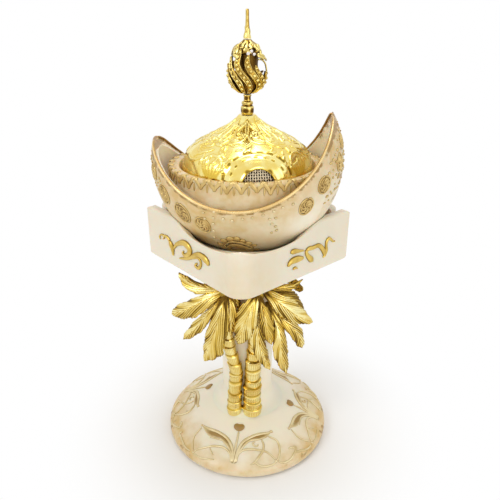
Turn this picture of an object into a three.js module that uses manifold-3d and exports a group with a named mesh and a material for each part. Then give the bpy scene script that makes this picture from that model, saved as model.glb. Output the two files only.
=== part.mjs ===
// Mabkhara incense burner: a crescent bowl with a lift-off metal dome, carried by a square capital on a
// column with two pairs of gilded palms, on a round foot. Millimetres, +Z up, origin under the foot's centre.
import * as THREE from 'three';
import { mergeVertices } from 'three/addons/utils/BufferGeometryUtils.js';
import Module from 'manifold-3d';

const wasm = await Module();
wasm.setup();

// Shared clearances
const seatGap = 0.3;
const cutOverrun = 5;

// Felt pad and round foot
const feltRadius = 56;
const feltThickness = 1.2;
const baseRadius = 60;
const baseEdgeRound = 2.4;
const baseWallHeight = 6.4;
const baseTopHeight = 25;
const baseUnderBoreRadius = 11;
const baseUnderBoreDepth = 8;
const footScrollWidth = 2.2;
const footScrollRelief = 0.9;

// Column between the palms
const columnFootRadius = 26;
const columnWaistRadius = 18.4;
const columnHeadRadius = 27;
const columnHeadHeight = 143;

// Threaded rod, nuts and washers
const rodRadius = 3;
const rodBoreRadius = 3.4;
const rodEndLength = 9;
const nutRadius = 5.8;
const nutHeight = 5;
const washerRadius = 8;
const washerThickness = 1.2;

// Square capital seen corner-on: a core and two V-shaped pairs of boards
const capitalHalfDiagonal = 66.7;
const capitalHeight = 34.2;
const boardThickness = 6;
const boardCornerRadius = 12;
const boardEndRound = 4.5;
const backBoardShortening = 11.5;
const boardScoopDepth = 5.2;
const boardScoopPlace = 24;
const boardScoopReach = 34;
const coreHeight = 27.5;

// Crescent bowl: an oval shell cut by a wide cylinder that leaves two horns
const bowlHalfLength = 59.3;
const bowlHalfDepth = 51;
const bowlHalfHeight = 59;
const bowlCentreRise = 65.4;
const bowlWall = 4.2;
const crescentCutRadius = 57.1;
const crescentCutRise = 37.1;
const crescentCutShift = -5.4;
const crescentLeanDegrees = 3.4;
const bowlDeckDrop = 26.2;
const bowlNutWellRadius = 11;
const bowlNutWellDrop = 40.7;

// Seat collar in the bowl
const collarHalfLength = 49.4;
const collarHalfDepth = 44.6;
const collarBoreRadius = 42.2;
const collarHeight = 24.5;
const collarLedgeWidth = 4.4;
const collarLedgeHeight = 7;

// Heat pad and charcoal cup
const padRadius = 30;
const padThickness = 2.4;
const cupRadius = 25;
const cupHeight = 14;
const cupWall = 1.2;
const cupFloorRadius = 18;
const cupFlangeWidth = 3.4;
const cupFlangeThickness = 1.4;

// Dome: rolled ring, embossed shell and mesh behind its round windows
const domeRadius = 41.3;
const domeWall = 1.2;
const domeHeight = 42.8;
const domeNeckRadius = 5.2;
const domeScrewHoleRadius = 1.9;
const ringHeight = 3.4;
const ringWidth = 3.5;
const windowRadius = 9.3;
const windowHeight = 10.4;
const windowCount = 2;
const firstWindowDegrees = -77;
const windowRingRadius = 20.3;
const domeScrollWidth = 2.4;
const domeScrollRelief = 0.6;
const linerWall = 0.5;
const linerHeight = 21;

// Finial
const spoolRingRadius = 3.9;
const spoolHeight = 11.2;
const budRadius = 8.6;
const budHeight = 30;
const petalCount = 8;
const petalReach = 11.7;
const petalRadius = 1.5;
const petalTwistDegrees = 80;
const spikeRadius = 2.4;
const spikeTipRadius = 1;
const spikeHeight = 15.4;
const screwRadius = 1.5;
const screwHeadRadius = 3;
const screwHeadHeight = 2;
const finialWasherRadius = 4.2;
const finialWasherThickness = 0.8;

// Palms: ringed trunks and hanging crowns
const crownBelowHead = 15.5;
const crownDistance = 20.5;
const trunkFootDistance = 21;
const leftTrunkRadius = 5.2;
const rightTrunkRadius = 6.6;
const trunkRingCount = 13;
const trunkSides = 8;
const leftCrownOffset = -13.4;
const rightCrownOffset = 7.9;
const leftFootOffset = -8;
const rightFootOffset = 4.8;
const crownKnobRadius = 6;
const frondReach = 40;
const frondDrop = 70;
const frondWidth = 26;
const frondThickness = 2.6;

// Places that follow from the sizes above
const baseBottom = feltThickness + seatGap;
const trunkFootHeight = baseTopHeight + seatGap;
const crownHeight = columnHeadHeight - crownBelowHead;
const capitalBottom = columnHeadHeight + seatGap;
const bowlCentreHeight = capitalBottom + bowlCentreRise;
const bowlDeckHeight = bowlCentreHeight - bowlDeckDrop;
const bowlNutWellFloor = bowlCentreHeight - bowlNutWellDrop;
const rodTopHeight = bowlNutWellFloor + rodEndLength;
const collarBottom = bowlDeckHeight + seatGap;
const collarTopHeight = collarBottom + collarHeight;
const padBottom = bowlDeckHeight + seatGap;
const cupBottom = padBottom + padThickness + seatGap;
const ledgeTop = collarBottom + collarLedgeHeight;
const ringBottom = ledgeTop + seatGap;
const shellBottom = ringBottom + ringHeight + seatGap;
const domeTop = shellBottom + domeHeight;
const spoolBottom = domeTop + seatGap;
const budBottom = spoolBottom + spoolHeight + seatGap;
const spikeBottom = budBottom + budHeight + seatGap;

const fine = 36;
const medium = 20;
const coarse = 12;

// Solids and geometries
function welded(geometry) {
  const bare = new THREE.BufferGeometry();
  bare.setAttribute('position', geometry.getAttribute('position').clone());
  if (geometry.index) bare.setIndex(geometry.index.clone());
  const merged = mergeVertices(bare, 1e-4);
  const index = merged.index.array;
  const kept = [];
  for (let i = 0; i < index.length; i += 3) {
    const [a, b, c] = [index[i], index[i + 1], index[i + 2]];
    if (a !== b && b !== c && c !== a) kept.push(a, b, c);
  }
  merged.setIndex(kept);
  return merged;
}

function signedVolume(geometry) {
  const position = geometry.getAttribute('position');
  const index = geometry.index.array;
  const [a, b, c] = [new THREE.Vector3(), new THREE.Vector3(), new THREE.Vector3()];
  let sum = 0;
  for (let i = 0; i < index.length; i += 3) {
    a.fromBufferAttribute(position, index[i]);
    b.fromBufferAttribute(position, index[i + 1]);
    c.fromBufferAttribute(position, index[i + 2]);
    sum += a.dot(b.cross(c)) / 6;
  }
  return sum;
}

function solid(geometry) {
  const closed = welded(geometry);
  const triVerts = Uint32Array.from(closed.index.array);
  if (signedVolume(closed) < 0) triVerts.reverse();
  const vertProperties = Float32Array.from(closed.getAttribute('position').array);
  return new wasm.Manifold(new wasm.Mesh({ numProp: 3, vertProperties, triVerts }));
}

function joined(...solids) {
  return solids.reduce((whole, next) => whole.add(next));
}

function largestPiece(whole) {
  const pieces = whole.decompose();
  return pieces.reduce((best, next) => (next.volume() > best.volume() ? next : best));
}

function geometryOf(whole) {
  const mesh = whole.getMesh();
  const geometry = new THREE.BufferGeometry();
  geometry.setAttribute('position', new THREE.BufferAttribute(Float32Array.from(mesh.vertProperties), 3));
  geometry.setIndex(Array.from(mesh.triVerts));
  return geometry;
}

function lathe(profile, segments) {
  const points = profile.map(([radius, height]) => new THREE.Vector2(radius, height));
  return solid(new THREE.LatheGeometry(points, segments).rotateX(Math.PI / 2));
}

function ringLathe(profile, segments) {
  return lathe([...profile, profile[0]], segments);
}

function rod(radius, bottom, height, segments) {
  return lathe([[0, bottom], [radius, bottom], [radius, bottom + height], [0, bottom + height]], segments);
}

function oval(halfLength, halfDepth, bottom, height, segments) {
  const shape = new THREE.CylinderGeometry(1, 1, height, segments);
  shape.rotateX(Math.PI / 2).scale(halfLength, halfDepth, 1).translate(0, 0, bottom + height / 2);
  return solid(shape);
}

function ellipsoid(grow) {
  const shape = new THREE.SphereGeometry(1, fine, medium).rotateX(Math.PI / 2);
  shape.scale(bowlHalfLength + grow, bowlHalfDepth + grow, bowlHalfHeight + grow);
  return solid(shape.translate(0, 0, bowlCentreHeight));
}

function loft(sections) {
  const count = sections[0].length;
  const positions = sections.flat().flatMap((point) => [point.x, point.y, point.z]);
  const triangles = [];
  for (let s = 0; s + 1 < sections.length; s += 1) {
    for (let i = 0; i < count; i += 1) {
      const [a, b] = [s * count + i, s * count + ((i + 1) % count)];
      triangles.push(a, b, b + count, a, b + count, a + count);
    }
  }
  for (const [row, flip] of [[0, true], [sections.length - 1, false]]) {
    const centre = sections[row].reduce((sum, point) => sum.add(point), new THREE.Vector3());
    centre.divideScalar(count);
    const hub = positions.length / 3;
    positions.push(centre.x, centre.y, centre.z);
    for (let i = 0; i < count; i += 1) {
      const [a, b] = [row * count + i, row * count + ((i + 1) % count)];
      triangles.push(...(flip ? [hub, b, a] : [hub, a, b]));
    }
  }
  const geometry = new THREE.BufferGeometry();
  geometry.setAttribute('position', new THREE.Float32BufferAttribute(positions, 3));
  geometry.setIndex(triangles);
  return geometry;
}

// A low raised line on a surface, from rows of { point, normal }, sunk a little so that it joins the body
const lineTaperShares = [0.5, 1, 0.5];

function raisedLine(rows, width, relief) {
  const path = new THREE.CatmullRomCurve3(rows.map((row) => row.point));
  const bend = new THREE.CatmullRomCurve3(rows.map((row) => row.normal));
  const steps = rows.length;
  const sections = [];
  for (let i = 0; i <= steps; i += 1) {
    const along = i / steps;
    const centre = path.getPoint(along);
    const normal = bend.getPoint(along).normalize();
    const side = path.getTangent(along).cross(normal).normalize();
    const fromEnd = Math.min(along, 1 - along) * 2;
    const half = (width / 2) * THREE.MathUtils.lerp(lineTaperShares[0], lineTaperShares[1], fromEnd);
    const lift = relief * THREE.MathUtils.lerp(lineTaperShares[2], lineTaperShares[1], fromEnd);
    sections.push([
      centre.clone().addScaledVector(side, half).addScaledVector(normal, -relief * 0.6),
      centre.clone().addScaledVector(side, half * 0.45).addScaledVector(normal, lift),
      centre.clone().addScaledVector(side, -half * 0.45).addScaledVector(normal, lift),
      centre.clone().addScaledVector(side, -half).addScaledVector(normal, -relief * 0.6),
    ]);
  }
  return solid(loft(sections));
}

// A place on a turned surface: azimuth from the front towards +X, and a profile of [radius, height]
function onTurned(degrees, share, profile) {
  const lengths = [0];
  for (let i = 1; i < profile.length; i += 1) {
    const step = Math.hypot(profile[i][0] - profile[i - 1][0], profile[i][1] - profile[i - 1][1]);
    lengths.push(lengths[i - 1] + step);
  }
  const reach = THREE.MathUtils.clamp(share, 0, 1) * lengths[lengths.length - 1];
  const i = Math.min(Math.max(lengths.findIndex((length) => length >= reach), 1), profile.length - 1);
  const within = (reach - lengths[i - 1]) / (lengths[i] - lengths[i - 1]);
  const radius = THREE.MathUtils.lerp(profile[i - 1][0], profile[i][0], within);
  const height = THREE.MathUtils.lerp(profile[i - 1][1], profile[i][1], within);
  const [outRadius, outHeight] = [profile[i][1] - profile[i - 1][1], profile[i - 1][0] - profile[i][0]];
  const angle = THREE.MathUtils.degToRad(degrees);
  return {
    point: new THREE.Vector3(radius * Math.sin(angle), -radius * Math.cos(angle), height),
    normal: new THREE.Vector3(outRadius * Math.sin(angle), -outRadius * Math.cos(angle), outHeight).normalize(),
  };
}

// Foot and column
function baseProfile() {
  const bottom = baseBottom;
  const shoulder = bottom + baseWallHeight;
  const rise = baseTopHeight - shoulder;
  const slope = baseRadius - columnFootRadius;
  return [
    [rodBoreRadius, bottom + baseUnderBoreDepth],
    [baseUnderBoreRadius, bottom + baseUnderBoreDepth],
    [baseUnderBoreRadius, bottom],
    [baseRadius - baseEdgeRound, bottom],
    [baseRadius, bottom + baseEdgeRound],
    [baseRadius, shoulder - baseEdgeRound * 0.6],
    [baseRadius - baseEdgeRound * 0.4, shoulder],
    [baseRadius - slope * 0.12, shoulder + rise * 0.16],
    [baseRadius - slope * 0.5, shoulder + rise * 0.54],
    [columnFootRadius, baseTopHeight],
    [rodBoreRadius, baseTopHeight],
  ];
}

// The foot's scrolls, in four motifs: [middle in degrees, stretch], and lines of [degrees, share up the slope]
const footMotifShares = [[-6.5, 1], [82, 0.78], [161, 0.88], [251, 0.92]];
const footScrollShares = [
  [[0.3, 0.74], [0.2, 0.53], [-0.2, 0.12]],
  [[-0.5, 0.1], [-2.6, 0.36], [-10, 0.53], [-22.2, 0.59], [-41.5, 0.53]],
  [[-3.4, 0.25], [-9.9, 0.34], [-18.2, 0.31], [-31.3, 0.06]],
  [[-39.9, 0.49], [-39.6, 0.29], [-31.4, 0.08]],
  [[-50.7, 0.16], [-46.6, 0.08], [-33.8, 0.04]],
  [[0.8, 0.1], [2.2, 0.32], [5.9, 0.5], [14.2, 0.6], [36.6, 0.63]],
  [[3.3, 0.29], [8.2, 0.36], [17.1, 0.35], [30.9, 0.11]],
  [[31.6, 0.57], [37.8, 0.44], [37.1, 0.28], [30.7, 0.1]],
  [[32.1, 0.1], [41.2, 0.05], [50.2, 0.17]],
];

function footBody() {
  const slope = baseProfile().slice(6, 10);
  const lines = [];
  for (const [middle, stretch] of footMotifShares) {
    for (const line of footScrollShares) {
      const rows = line.map(([degrees, share]) => onTurned(middle + degrees * stretch, share, slope));
      lines.push(raisedLine(rows, footScrollWidth, footScrollRelief));
    }
  }
  return largestPiece(joined(ringLathe(baseProfile(), fine), ...lines));
}

const columnFlareShares = [[0, 1], [0.16, 0.62], [0.4, 0.26], [0.7, 0.07], [1, 0]];
const columnHeadShares = [[0, 0], [0.45, 0.08], [0.72, 0.3], [0.9, 0.66], [1, 1]];
const columnFlareHeight = 15;
const columnHeadFlareHeight = 34;

function columnOutline(grow) {
  const bottom = baseTopHeight + seatGap;
  const flare = columnFootRadius - columnWaistRadius;
  const head = columnHeadRadius - columnWaistRadius;
  const headStart = columnHeadHeight - columnHeadFlareHeight;
  return [
    ...columnFlareShares.map(([up, out]) => [columnWaistRadius + flare * out + grow, bottom + columnFlareHeight * up]),
    ...columnHeadShares.map(([up, out]) => [columnWaistRadius + head * out + grow, headStart + columnHeadFlareHeight * up]),
  ];
}

function columnBody(grow) {
  const outline = columnOutline(grow);
  const bottom = outline[0][1];
  return lathe([[0, bottom], ...outline, [0, columnHeadHeight]], medium);
}

// Palms. A pair stands in front, and the same pair, turned half round, behind.
const trunkPathShares = [[0, 0], [0.24, 0.06], [0.4, 0.42], [0.56, 0.78], [1, 1]];

function trunkPath(footOffset, crownOffset) {
  const points = trunkPathShares.map(([up, across]) => new THREE.Vector3(
    footOffset + (crownOffset - footOffset) * across,
    -(trunkFootDistance + (crownDistance - trunkFootDistance) * up),
    trunkFootHeight + (crownHeight - trunkFootHeight) * up,
  ));
  return new THREE.CatmullRomCurve3(points);
}

function trunkBody(radius, footOffset, crownOffset, grow) {
  const path = trunkPath(footOffset, crownOffset);
  const sections = [];
  const topTaper = 0.34;
  for (let ring = 0; ring < trunkRingCount; ring += 1) {
    for (const [within, swell] of [[0.04, 1.08], [0.92, 0.88]]) {
      const along = (ring + within) / trunkRingCount;
      const centre = path.getPointAt(along);
      const size = radius * (1 - topTaper * along) * swell + grow;
      const section = [];
      for (let i = 0; i < trunkSides; i += 1) {
        const angle = (i / trunkSides) * Math.PI * 2;
        section.push(new THREE.Vector3(centre.x + size * Math.cos(angle), centre.y + size * Math.sin(angle), centre.z));
      }
      sections.push(section);
    }
  }
  return solid(loft(sections));
}

// Each frond: [turn in degrees from +X, reach, drop, width and arch as shares of the frond sizes]
const leftFrondShares = [
  [168, 0.76, -0.15, 0.5, 0.14],
  [174, 0.91, 0.27, 0.62, 0.16],
  [186, 0.78, 0.6, 0.6, 0.2],
  [212, 0.44, 0.75, 1, 0.22],
  [286, 0.26, 0.16, 0.32, 0.1],
];
const rightFrondShares = [
  [208, 0.33, 0.53, 0.4, 0.14],
  [278, 0.26, 0.5, 0.54, 0.18],
  [322, 0.4, 0.62, 0.5, 0.18],
  [352, 0.56, 0.97, 0.62, 0.22],
  [14, 0.98, 0.42, 0.6, 0.18],
  [4, 0.82, 0.7, 0.5, 0.18],
];
const bladeWidthShares = [[0, 0.26], [0.16, 0.66], [0.4, 1], [0.66, 0.88], [0.86, 0.48], [1, 0.06]];

function frond(root, [turn, reachShare, dropShare, widthShare, archShare]) {
  const angle = THREE.MathUtils.degToRad(turn);
  const outward = new THREE.Vector3(Math.cos(angle), Math.sin(angle), 0);
  const reach = frondReach * reachShare;
  const drop = frondDrop * dropShare;
  const tip = root.clone().addScaledVector(outward, reach).add(new THREE.Vector3(0, 0, -drop));
  const arch = root.clone().addScaledVector(outward, reach * 0.7);
  arch.z += frondReach * archShare - drop * 0.16;
  const spine = new THREE.QuadraticBezierCurve3(root, arch, tip);
  const front = new THREE.Vector3(outward.x * 0.5, Math.sign(root.y), 0.35).normalize();
  const sections = bladeWidthShares.map(([along, wide]) => {
    const centre = spine.getPoint(along);
    const tangent = spine.getTangent(along);
    const side = tangent.clone().cross(front).normalize();
    const normal = side.clone().cross(tangent).normalize();
    const half = (frondWidth * widthShare * wide) / 2;
    const thick = (frondThickness / 2) * (0.35 + 0.65 * wide);
    return [
      centre.clone().addScaledVector(side, half).addScaledVector(normal, -thick),
      centre.clone().addScaledVector(normal, thick),
      centre.clone().addScaledVector(side, -half).addScaledVector(normal, -thick),
      centre.clone().addScaledVector(normal, -thick * 1.4),
    ];
  });
  return solid(loft(sections));
}

function crown(crownOffset, shares) {
  const root = new THREE.Vector3(crownOffset, -crownDistance - frondThickness, crownHeight);
  const knob = solid(new THREE.SphereGeometry(crownKnobRadius, coarse, 12).translate(root.x, root.y, root.z));
  return joined(knob, ...shares.map((row) => frond(root, row)));
}

function frontPalms() {
  const stem = columnBody(seatGap);
  const capitalRoom = oval(capitalHalfDiagonal * 2, capitalHalfDiagonal * 2, columnHeadHeight, frondDrop * 2, coarse);
  const leftTrunk = trunkBody(leftTrunkRadius, leftFootOffset, leftCrownOffset, 0);
  const leftTrunkRoom = trunkBody(leftTrunkRadius, leftFootOffset, leftCrownOffset, seatGap);
  const rightTrunk = trunkBody(rightTrunkRadius, rightFootOffset, rightCrownOffset, 0);
  const rightTrunkRoom = trunkBody(rightTrunkRadius, rightFootOffset, rightCrownOffset, seatGap);
  const leftCrown = crown(leftCrownOffset, leftFrondShares).subtract(capitalRoom);
  const rightCrown = crown(rightCrownOffset, rightFrondShares).subtract(capitalRoom);
  const divider = new THREE.BoxGeometry(frondReach * 4, frondReach * 4, frondDrop * 4);
  const split = (leftCrownOffset + rightCrownOffset) / 2;
  const rightSide = solid(divider.clone().translate(split - seatGap / 2 + frondReach * 2, 0, crownHeight));
  const leftSide = solid(divider.clone().translate(split + seatGap / 2 - frondReach * 2, 0, crownHeight));
  return {
    left_trunk: largestPiece(leftTrunk.subtract(stem).subtract(rightTrunkRoom)),
    right_trunk: largestPiece(rightTrunk.subtract(stem)),
    left_fronds: largestPiece(leftCrown.subtract(stem).subtract(leftTrunkRoom).subtract(rightTrunkRoom).subtract(rightSide)),
    right_fronds: largestPiece(rightCrown.subtract(stem).subtract(rightTrunkRoom).subtract(leftTrunkRoom).subtract(leftSide)),
  };
}

// Capital
function capitalPrism(halfDiagonal, bottom, height, cornerRadius) {
  const half = halfDiagonal / Math.SQRT2;
  const shape = new THREE.Shape();
  shape.moveTo(-half + cornerRadius, -half);
  shape.lineTo(half - cornerRadius, -half);
  shape.absarc(half - cornerRadius, -half + cornerRadius, cornerRadius, -Math.PI / 2, 0, false);
  shape.lineTo(half, half - cornerRadius);
  shape.absarc(half - cornerRadius, half - cornerRadius, cornerRadius, 0, Math.PI / 2, false);
  shape.lineTo(-half + cornerRadius, half);
  shape.absarc(-half + cornerRadius, half - cornerRadius, cornerRadius, Math.PI / 2, Math.PI, false);
  shape.lineTo(-half, -half + cornerRadius);
  shape.absarc(-half + cornerRadius, -half + cornerRadius, cornerRadius, Math.PI, Math.PI * 1.5, false);
  const prism = new THREE.ExtrudeGeometry(shape, { depth: height, bevelEnabled: false, curveSegments: 8 });
  return solid(prism.rotateZ(Math.PI / 4).translate(0, 0, bottom));
}

function board(length, side) {
  const shape = new THREE.Shape();
  shape.moveTo(0, 0);
  shape.lineTo(length - boardEndRound, 0);
  shape.absarc(length - boardEndRound, boardEndRound, boardEndRound, -Math.PI / 2, 0, false);
  shape.lineTo(length, capitalHeight - boardEndRound);
  shape.absarc(length - boardEndRound, capitalHeight - boardEndRound, boardEndRound, 0, Math.PI / 2, false);
  const scoopSteps = 8;
  for (let i = 0; i <= scoopSteps; i += 1) {
    const along = (boardScoopPlace + boardScoopReach) * (1 - i / scoopSteps);
    const fromMiddle = (along - boardScoopPlace) / boardScoopReach;
    shape.lineTo(along, capitalHeight - boardScoopDepth * (1 - fromMiddle * fromMiddle));
  }
  const plank = new THREE.ExtrudeGeometry(shape, { depth: boardThickness, bevelEnabled: false, curveSegments: 6 });
  plank.rotateX(Math.PI / 2);
  plank.translate(0, boardThickness, 0);
  if (side < 0) plank.scale(-1, 1, 1);
  plank.rotateZ((side * Math.PI) / 4);
  return solid(plank.translate(0, -capitalHalfDiagonal, capitalBottom));
}

function boardPair(shortening) {
  const length = capitalHalfDiagonal * Math.SQRT2 - shortening;
  const envelope = new THREE.Shape();
  envelope.moveTo(-capitalHalfDiagonal * 2, capitalHalfDiagonal);
  envelope.lineTo(-capitalHalfDiagonal, 0);
  const tangent = boardCornerRadius / Math.SQRT2;
  envelope.lineTo(-tangent, -capitalHalfDiagonal + tangent);
  const arcCentre = -capitalHalfDiagonal + boardCornerRadius * Math.SQRT2;
  envelope.absarc(0, arcCentre, boardCornerRadius, Math.PI * 1.25, Math.PI * 1.75, false);
  envelope.lineTo(capitalHalfDiagonal, 0);
  envelope.lineTo(capitalHalfDiagonal * 2, capitalHalfDiagonal);
  const slab = new THREE.ExtrudeGeometry(envelope, { depth: capitalHeight * 2, bevelEnabled: false, curveSegments: 10 });
  const trimmed = solid(slab.translate(0, 0, capitalBottom - capitalHeight / 2));
  return joined(board(length, 1), board(length, -1)).intersect(trimmed).subtract(ellipsoid(seatGap));
}

function coreBody() {
  const inset = (boardThickness + seatGap) * Math.SQRT2;
  const block = capitalPrism(capitalHalfDiagonal - inset, capitalBottom, coreHeight, boardEndRound);
  const bore = rod(rodBoreRadius, capitalBottom - cutOverrun, coreHeight + 2 * cutOverrun, coarse);
  return block.subtract(ellipsoid(seatGap)).subtract(bore);
}

// Crescent bowl and seat collar
function crescentCutter() {
  const cutter = new THREE.CylinderGeometry(crescentCutRadius, crescentCutRadius, bowlHalfDepth * 4, fine);
  cutter.rotateX(THREE.MathUtils.degToRad(-crescentLeanDegrees));
  return solid(cutter.translate(crescentCutShift, 0, bowlCentreHeight + crescentCutRise));
}

function bowlBody() {
  const tall = bowlHalfHeight * 2;
  const above = oval(bowlHalfLength * 2, bowlHalfLength * 2, bowlDeckHeight, tall, coarse);
  const hollow = ellipsoid(-bowlWall).intersect(above);
  const collarRoom = oval(collarHalfLength + seatGap, collarHalfDepth + seatGap, bowlDeckHeight, tall, fine);
  const nutWell = rod(bowlNutWellRadius, bowlNutWellFloor, tall, coarse);
  const bore = rod(rodBoreRadius, bowlCentreHeight - tall, tall, coarse);
  const cut = ellipsoid(0).subtract(crescentCutter()).subtract(hollow).subtract(collarRoom);
  return largestPiece(cut.subtract(nutWell).subtract(bore));
}

function collarBody() {
  const height = collarTopHeight - collarBottom;
  const body = oval(collarHalfLength, collarHalfDepth, collarBottom, height, fine);
  const bore = rod(collarBoreRadius, ledgeTop, height, fine);
  const lowerBore = rod(collarBoreRadius - collarLedgeWidth, collarBottom - cutOverrun, height, fine);
  return body.subtract(bore).subtract(lowerBore);
}

// Dome: its outside as shares of its radius and height, from the lower edge to the neck
const domeShares = [
  [1, 0], [0.998, 0.1], [0.994, 0.23], [0.98, 0.34], [0.935, 0.46], [0.875, 0.54], [0.757, 0.627], [0.55, 0.732],
  [0.348, 0.828], [0.232, 0.9], [0.168, 0.955],
];

function domeOutline(inset) {
  const outer = [
    ...domeShares.map(([out, up]) => new THREE.Vector2(domeRadius * out, shellBottom + domeHeight * up)),
    new THREE.Vector2(domeNeckRadius, domeTop),
  ];
  return outer.map((point, i) => {
    const before = outer[Math.max(i - 1, 0)];
    const after = outer[Math.min(i + 1, outer.length - 1)];
    const along = after.clone().sub(before).normalize();
    return [point.x - along.y * inset, point.y + along.x * inset];
  });
}

function windowCutters() {
  const cutters = [];
  for (let i = 0; i < windowCount; i += 1) {
    const drill = new THREE.CylinderGeometry(windowRadius, windowRadius, domeRadius, coarse);
    drill.rotateZ(Math.PI / 2).translate(domeRadius, 0, shellBottom + windowHeight);
    drill.rotateZ(THREE.MathUtils.degToRad(firstWindowDegrees + (360 / windowCount) * i));
    cutters.push(solid(drill));
  }
  return joined(...cutters);
}

// The dome's embossed scrolls, in four lobes: lines of [degrees from the lobe's middle, share up the side]
const domeLobeCount = 4;
const firstLobeDegrees = 3;
const domeScrollShares = [
  [[0, 0.96], [0, 0.87], [0, 0.77]],
  [[4, 0.94], [15, 0.91], [24, 0.84], [21, 0.75], [11, 0.75]],
  [[40, 0.95], [36, 0.85], [33, 0.75], [36, 0.67]],
  [[3, 0.74], [9, 0.68], [18, 0.64], [29, 0.63]],
  [[29, 0.66], [36, 0.6], [44, 0.61]],
  [[30, 0.5], [38, 0.44], [45, 0.5]],
];

function windowRing(degrees) {
  const outline = domeOutline(0);
  const rows = [];
  const steps = coarse;
  for (let i = 0; i <= steps; i += 1) {
    const turn = (i / steps) * Math.PI;
    const height = shellBottom + windowHeight + windowRingRadius * Math.sin(turn) * 0.86;
    const share = shareAtHeight(outline, height);
    const { point } = onTurned(0, share, outline);
    const aside = (windowRingRadius * Math.cos(turn)) / Math.hypot(point.x, point.y);
    rows.push(onTurned(degrees + THREE.MathUtils.radToDeg(aside), share, outline));
  }
  return raisedLine(rows, domeScrollWidth, domeScrollRelief);
}

function shareAtHeight(profile, height) {
  const lengths = [0];
  for (let i = 1; i < profile.length; i += 1) {
    lengths.push(lengths[i - 1] + Math.hypot(profile[i][0] - profile[i - 1][0], profile[i][1] - profile[i - 1][1]));
  }
  const i = Math.max(profile.findIndex((point) => point[1] >= height), 1);
  const within = (height - profile[i - 1][1]) / (profile[i][1] - profile[i - 1][1]);
  return THREE.MathUtils.lerp(lengths[i - 1], lengths[i], within) / lengths[lengths.length - 1];
}

function domeScrolls() {
  const outline = domeOutline(0);
  const lines = [];
  for (let lobe = 0; lobe < domeLobeCount; lobe += 1) {
    const middle = firstLobeDegrees + (360 / domeLobeCount) * lobe;
    for (const line of domeScrollShares) {
      const sides = line[0][0] === 0 ? [1] : [1, -1];
      for (const side of sides) {
        const rows = line.map(([degrees, share]) => onTurned(middle + side * degrees, share, outline));
        lines.push(raisedLine(rows, domeScrollWidth, domeScrollRelief));
      }
    }
  }
  for (let i = 0; i < windowCount; i += 1) {
    lines.push(windowRing(90 + firstWindowDegrees + (360 / windowCount) * i));
  }
  return joined(...lines);
}

function domeShellBody() {
  const outside = domeOutline(0);
  const inside = domeOutline(domeWall).slice(0, -1);
  inside[0][1] = shellBottom;
  const roof = domeTop - domeWall;
  const profile = [
    ...outside,
    [domeScrewHoleRadius, domeTop],
    [domeScrewHoleRadius, roof],
    [domeNeckRadius - domeWall * 0.3, roof],
    ...inside.reverse(),
  ];
  return largestPiece(ringLathe(profile, fine).add(domeScrolls()).subtract(windowCutters()));
}

function linerBody() {
  const gap = domeWall + seatGap;
  const top = shellBottom + linerHeight;
  const outer = domeOutline(gap).filter(([, height]) => height < top);
  const inner = domeOutline(gap + linerWall).slice(0, outer.length);
  return ringLathe([...outer, ...inner.reverse()], medium);
}

function ringBody() {
  const outer = domeRadius + seatGap;
  const round = ringHeight * 0.3;
  return ringLathe([
    [outer - ringWidth, ringBottom],
    [outer - round, ringBottom],
    [outer, ringBottom + round],
    [outer, ringBottom + ringHeight - round],
    [outer - round, ringBottom + ringHeight],
    [outer - ringWidth, ringBottom + ringHeight],
  ], fine);
}

// Charcoal cup
function cupBody() {
  const top = cupBottom + cupHeight;
  return lathe([
    [0, cupBottom],
    [cupFloorRadius, cupBottom],
    [cupRadius, top - cupFlangeThickness],
    [cupRadius + cupFlangeWidth, top - cupFlangeThickness],
    [cupRadius + cupFlangeWidth, top],
    [cupRadius - cupWall, top],
    [cupFloorRadius - cupWall * 0.6, cupBottom + cupWall],
    [0, cupBottom + cupWall],
  ], medium);
}

// Finial
const spoolShares = [[0, 0.92], [0.06, 1], [0.3, 1], [0.36, 0.82], [0.42, 0.86], [0.6, 0.86], [0.66, 0.62], [0.72, 0.6],
  [0.92, 0.62], [1, 0.8]];

function spoolBody() {
  const bore = screwRadius + seatGap;
  const outline = spoolShares.map(([up, out]) => [spoolRingRadius * out, spoolBottom + spoolHeight * up]);
  return ringLathe([[bore, spoolBottom], ...outline, [bore, spoolBottom + spoolHeight]], coarse);
}

const budShares = [[0, 0.28], [0.08, 0.5], [0.2, 0.82], [0.36, 1], [0.55, 0.96], [0.75, 0.74], [0.9, 0.46], [1, 0.26]];

function budBody() {
  const outline = budShares.map(([up, out]) => [budRadius * out, budBottom + budHeight * up]);
  return lathe([[0, budBottom], ...outline, [0, budBottom + budHeight]], coarse);
}

const petalShares = [[0.06, 0.4], [0.14, 0.68], [0.26, 0.93], [0.42, 1], [0.58, 0.94], [0.72, 0.78], [0.84, 0.6]];

function petalRow(index) {
  const start = (index / petalCount) * Math.PI * 2;
  const twist = THREE.MathUtils.degToRad(petalTwistDegrees);
  const points = petalShares.map(([up, out]) => {
    const angle = start + twist * up;
    const reach = (petalReach - petalRadius) * out;
    return new THREE.Vector3(reach * Math.cos(angle), reach * Math.sin(angle), budBottom + budHeight * up);
  });
  const path = new THREE.CatmullRomCurve3(points);
  const section = new THREE.Shape();
  section.absarc(0, 0, petalRadius, 0, Math.PI * 2, false);
  return solid(new THREE.ExtrudeGeometry(section, {
    steps: 8, bevelEnabled: false, extrudePath: path, curveSegments: 3,
  }));
}

function petalsBody() {
  const calyxRadius = petalReach * 0.5;
  const rows = [rod(calyxRadius, budBottom, budHeight * 0.14, coarse)];
  for (let i = 0; i < petalCount; i += 1) rows.push(petalRow(i));
  const outline = budShares.map(([up, out]) => [budRadius * out + seatGap, budBottom + budHeight * up]);
  const room = lathe([[0, budBottom - seatGap], ...outline, [0, budBottom + budHeight + seatGap]], coarse);
  return joined(...rows).subtract(room);
}

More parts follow.
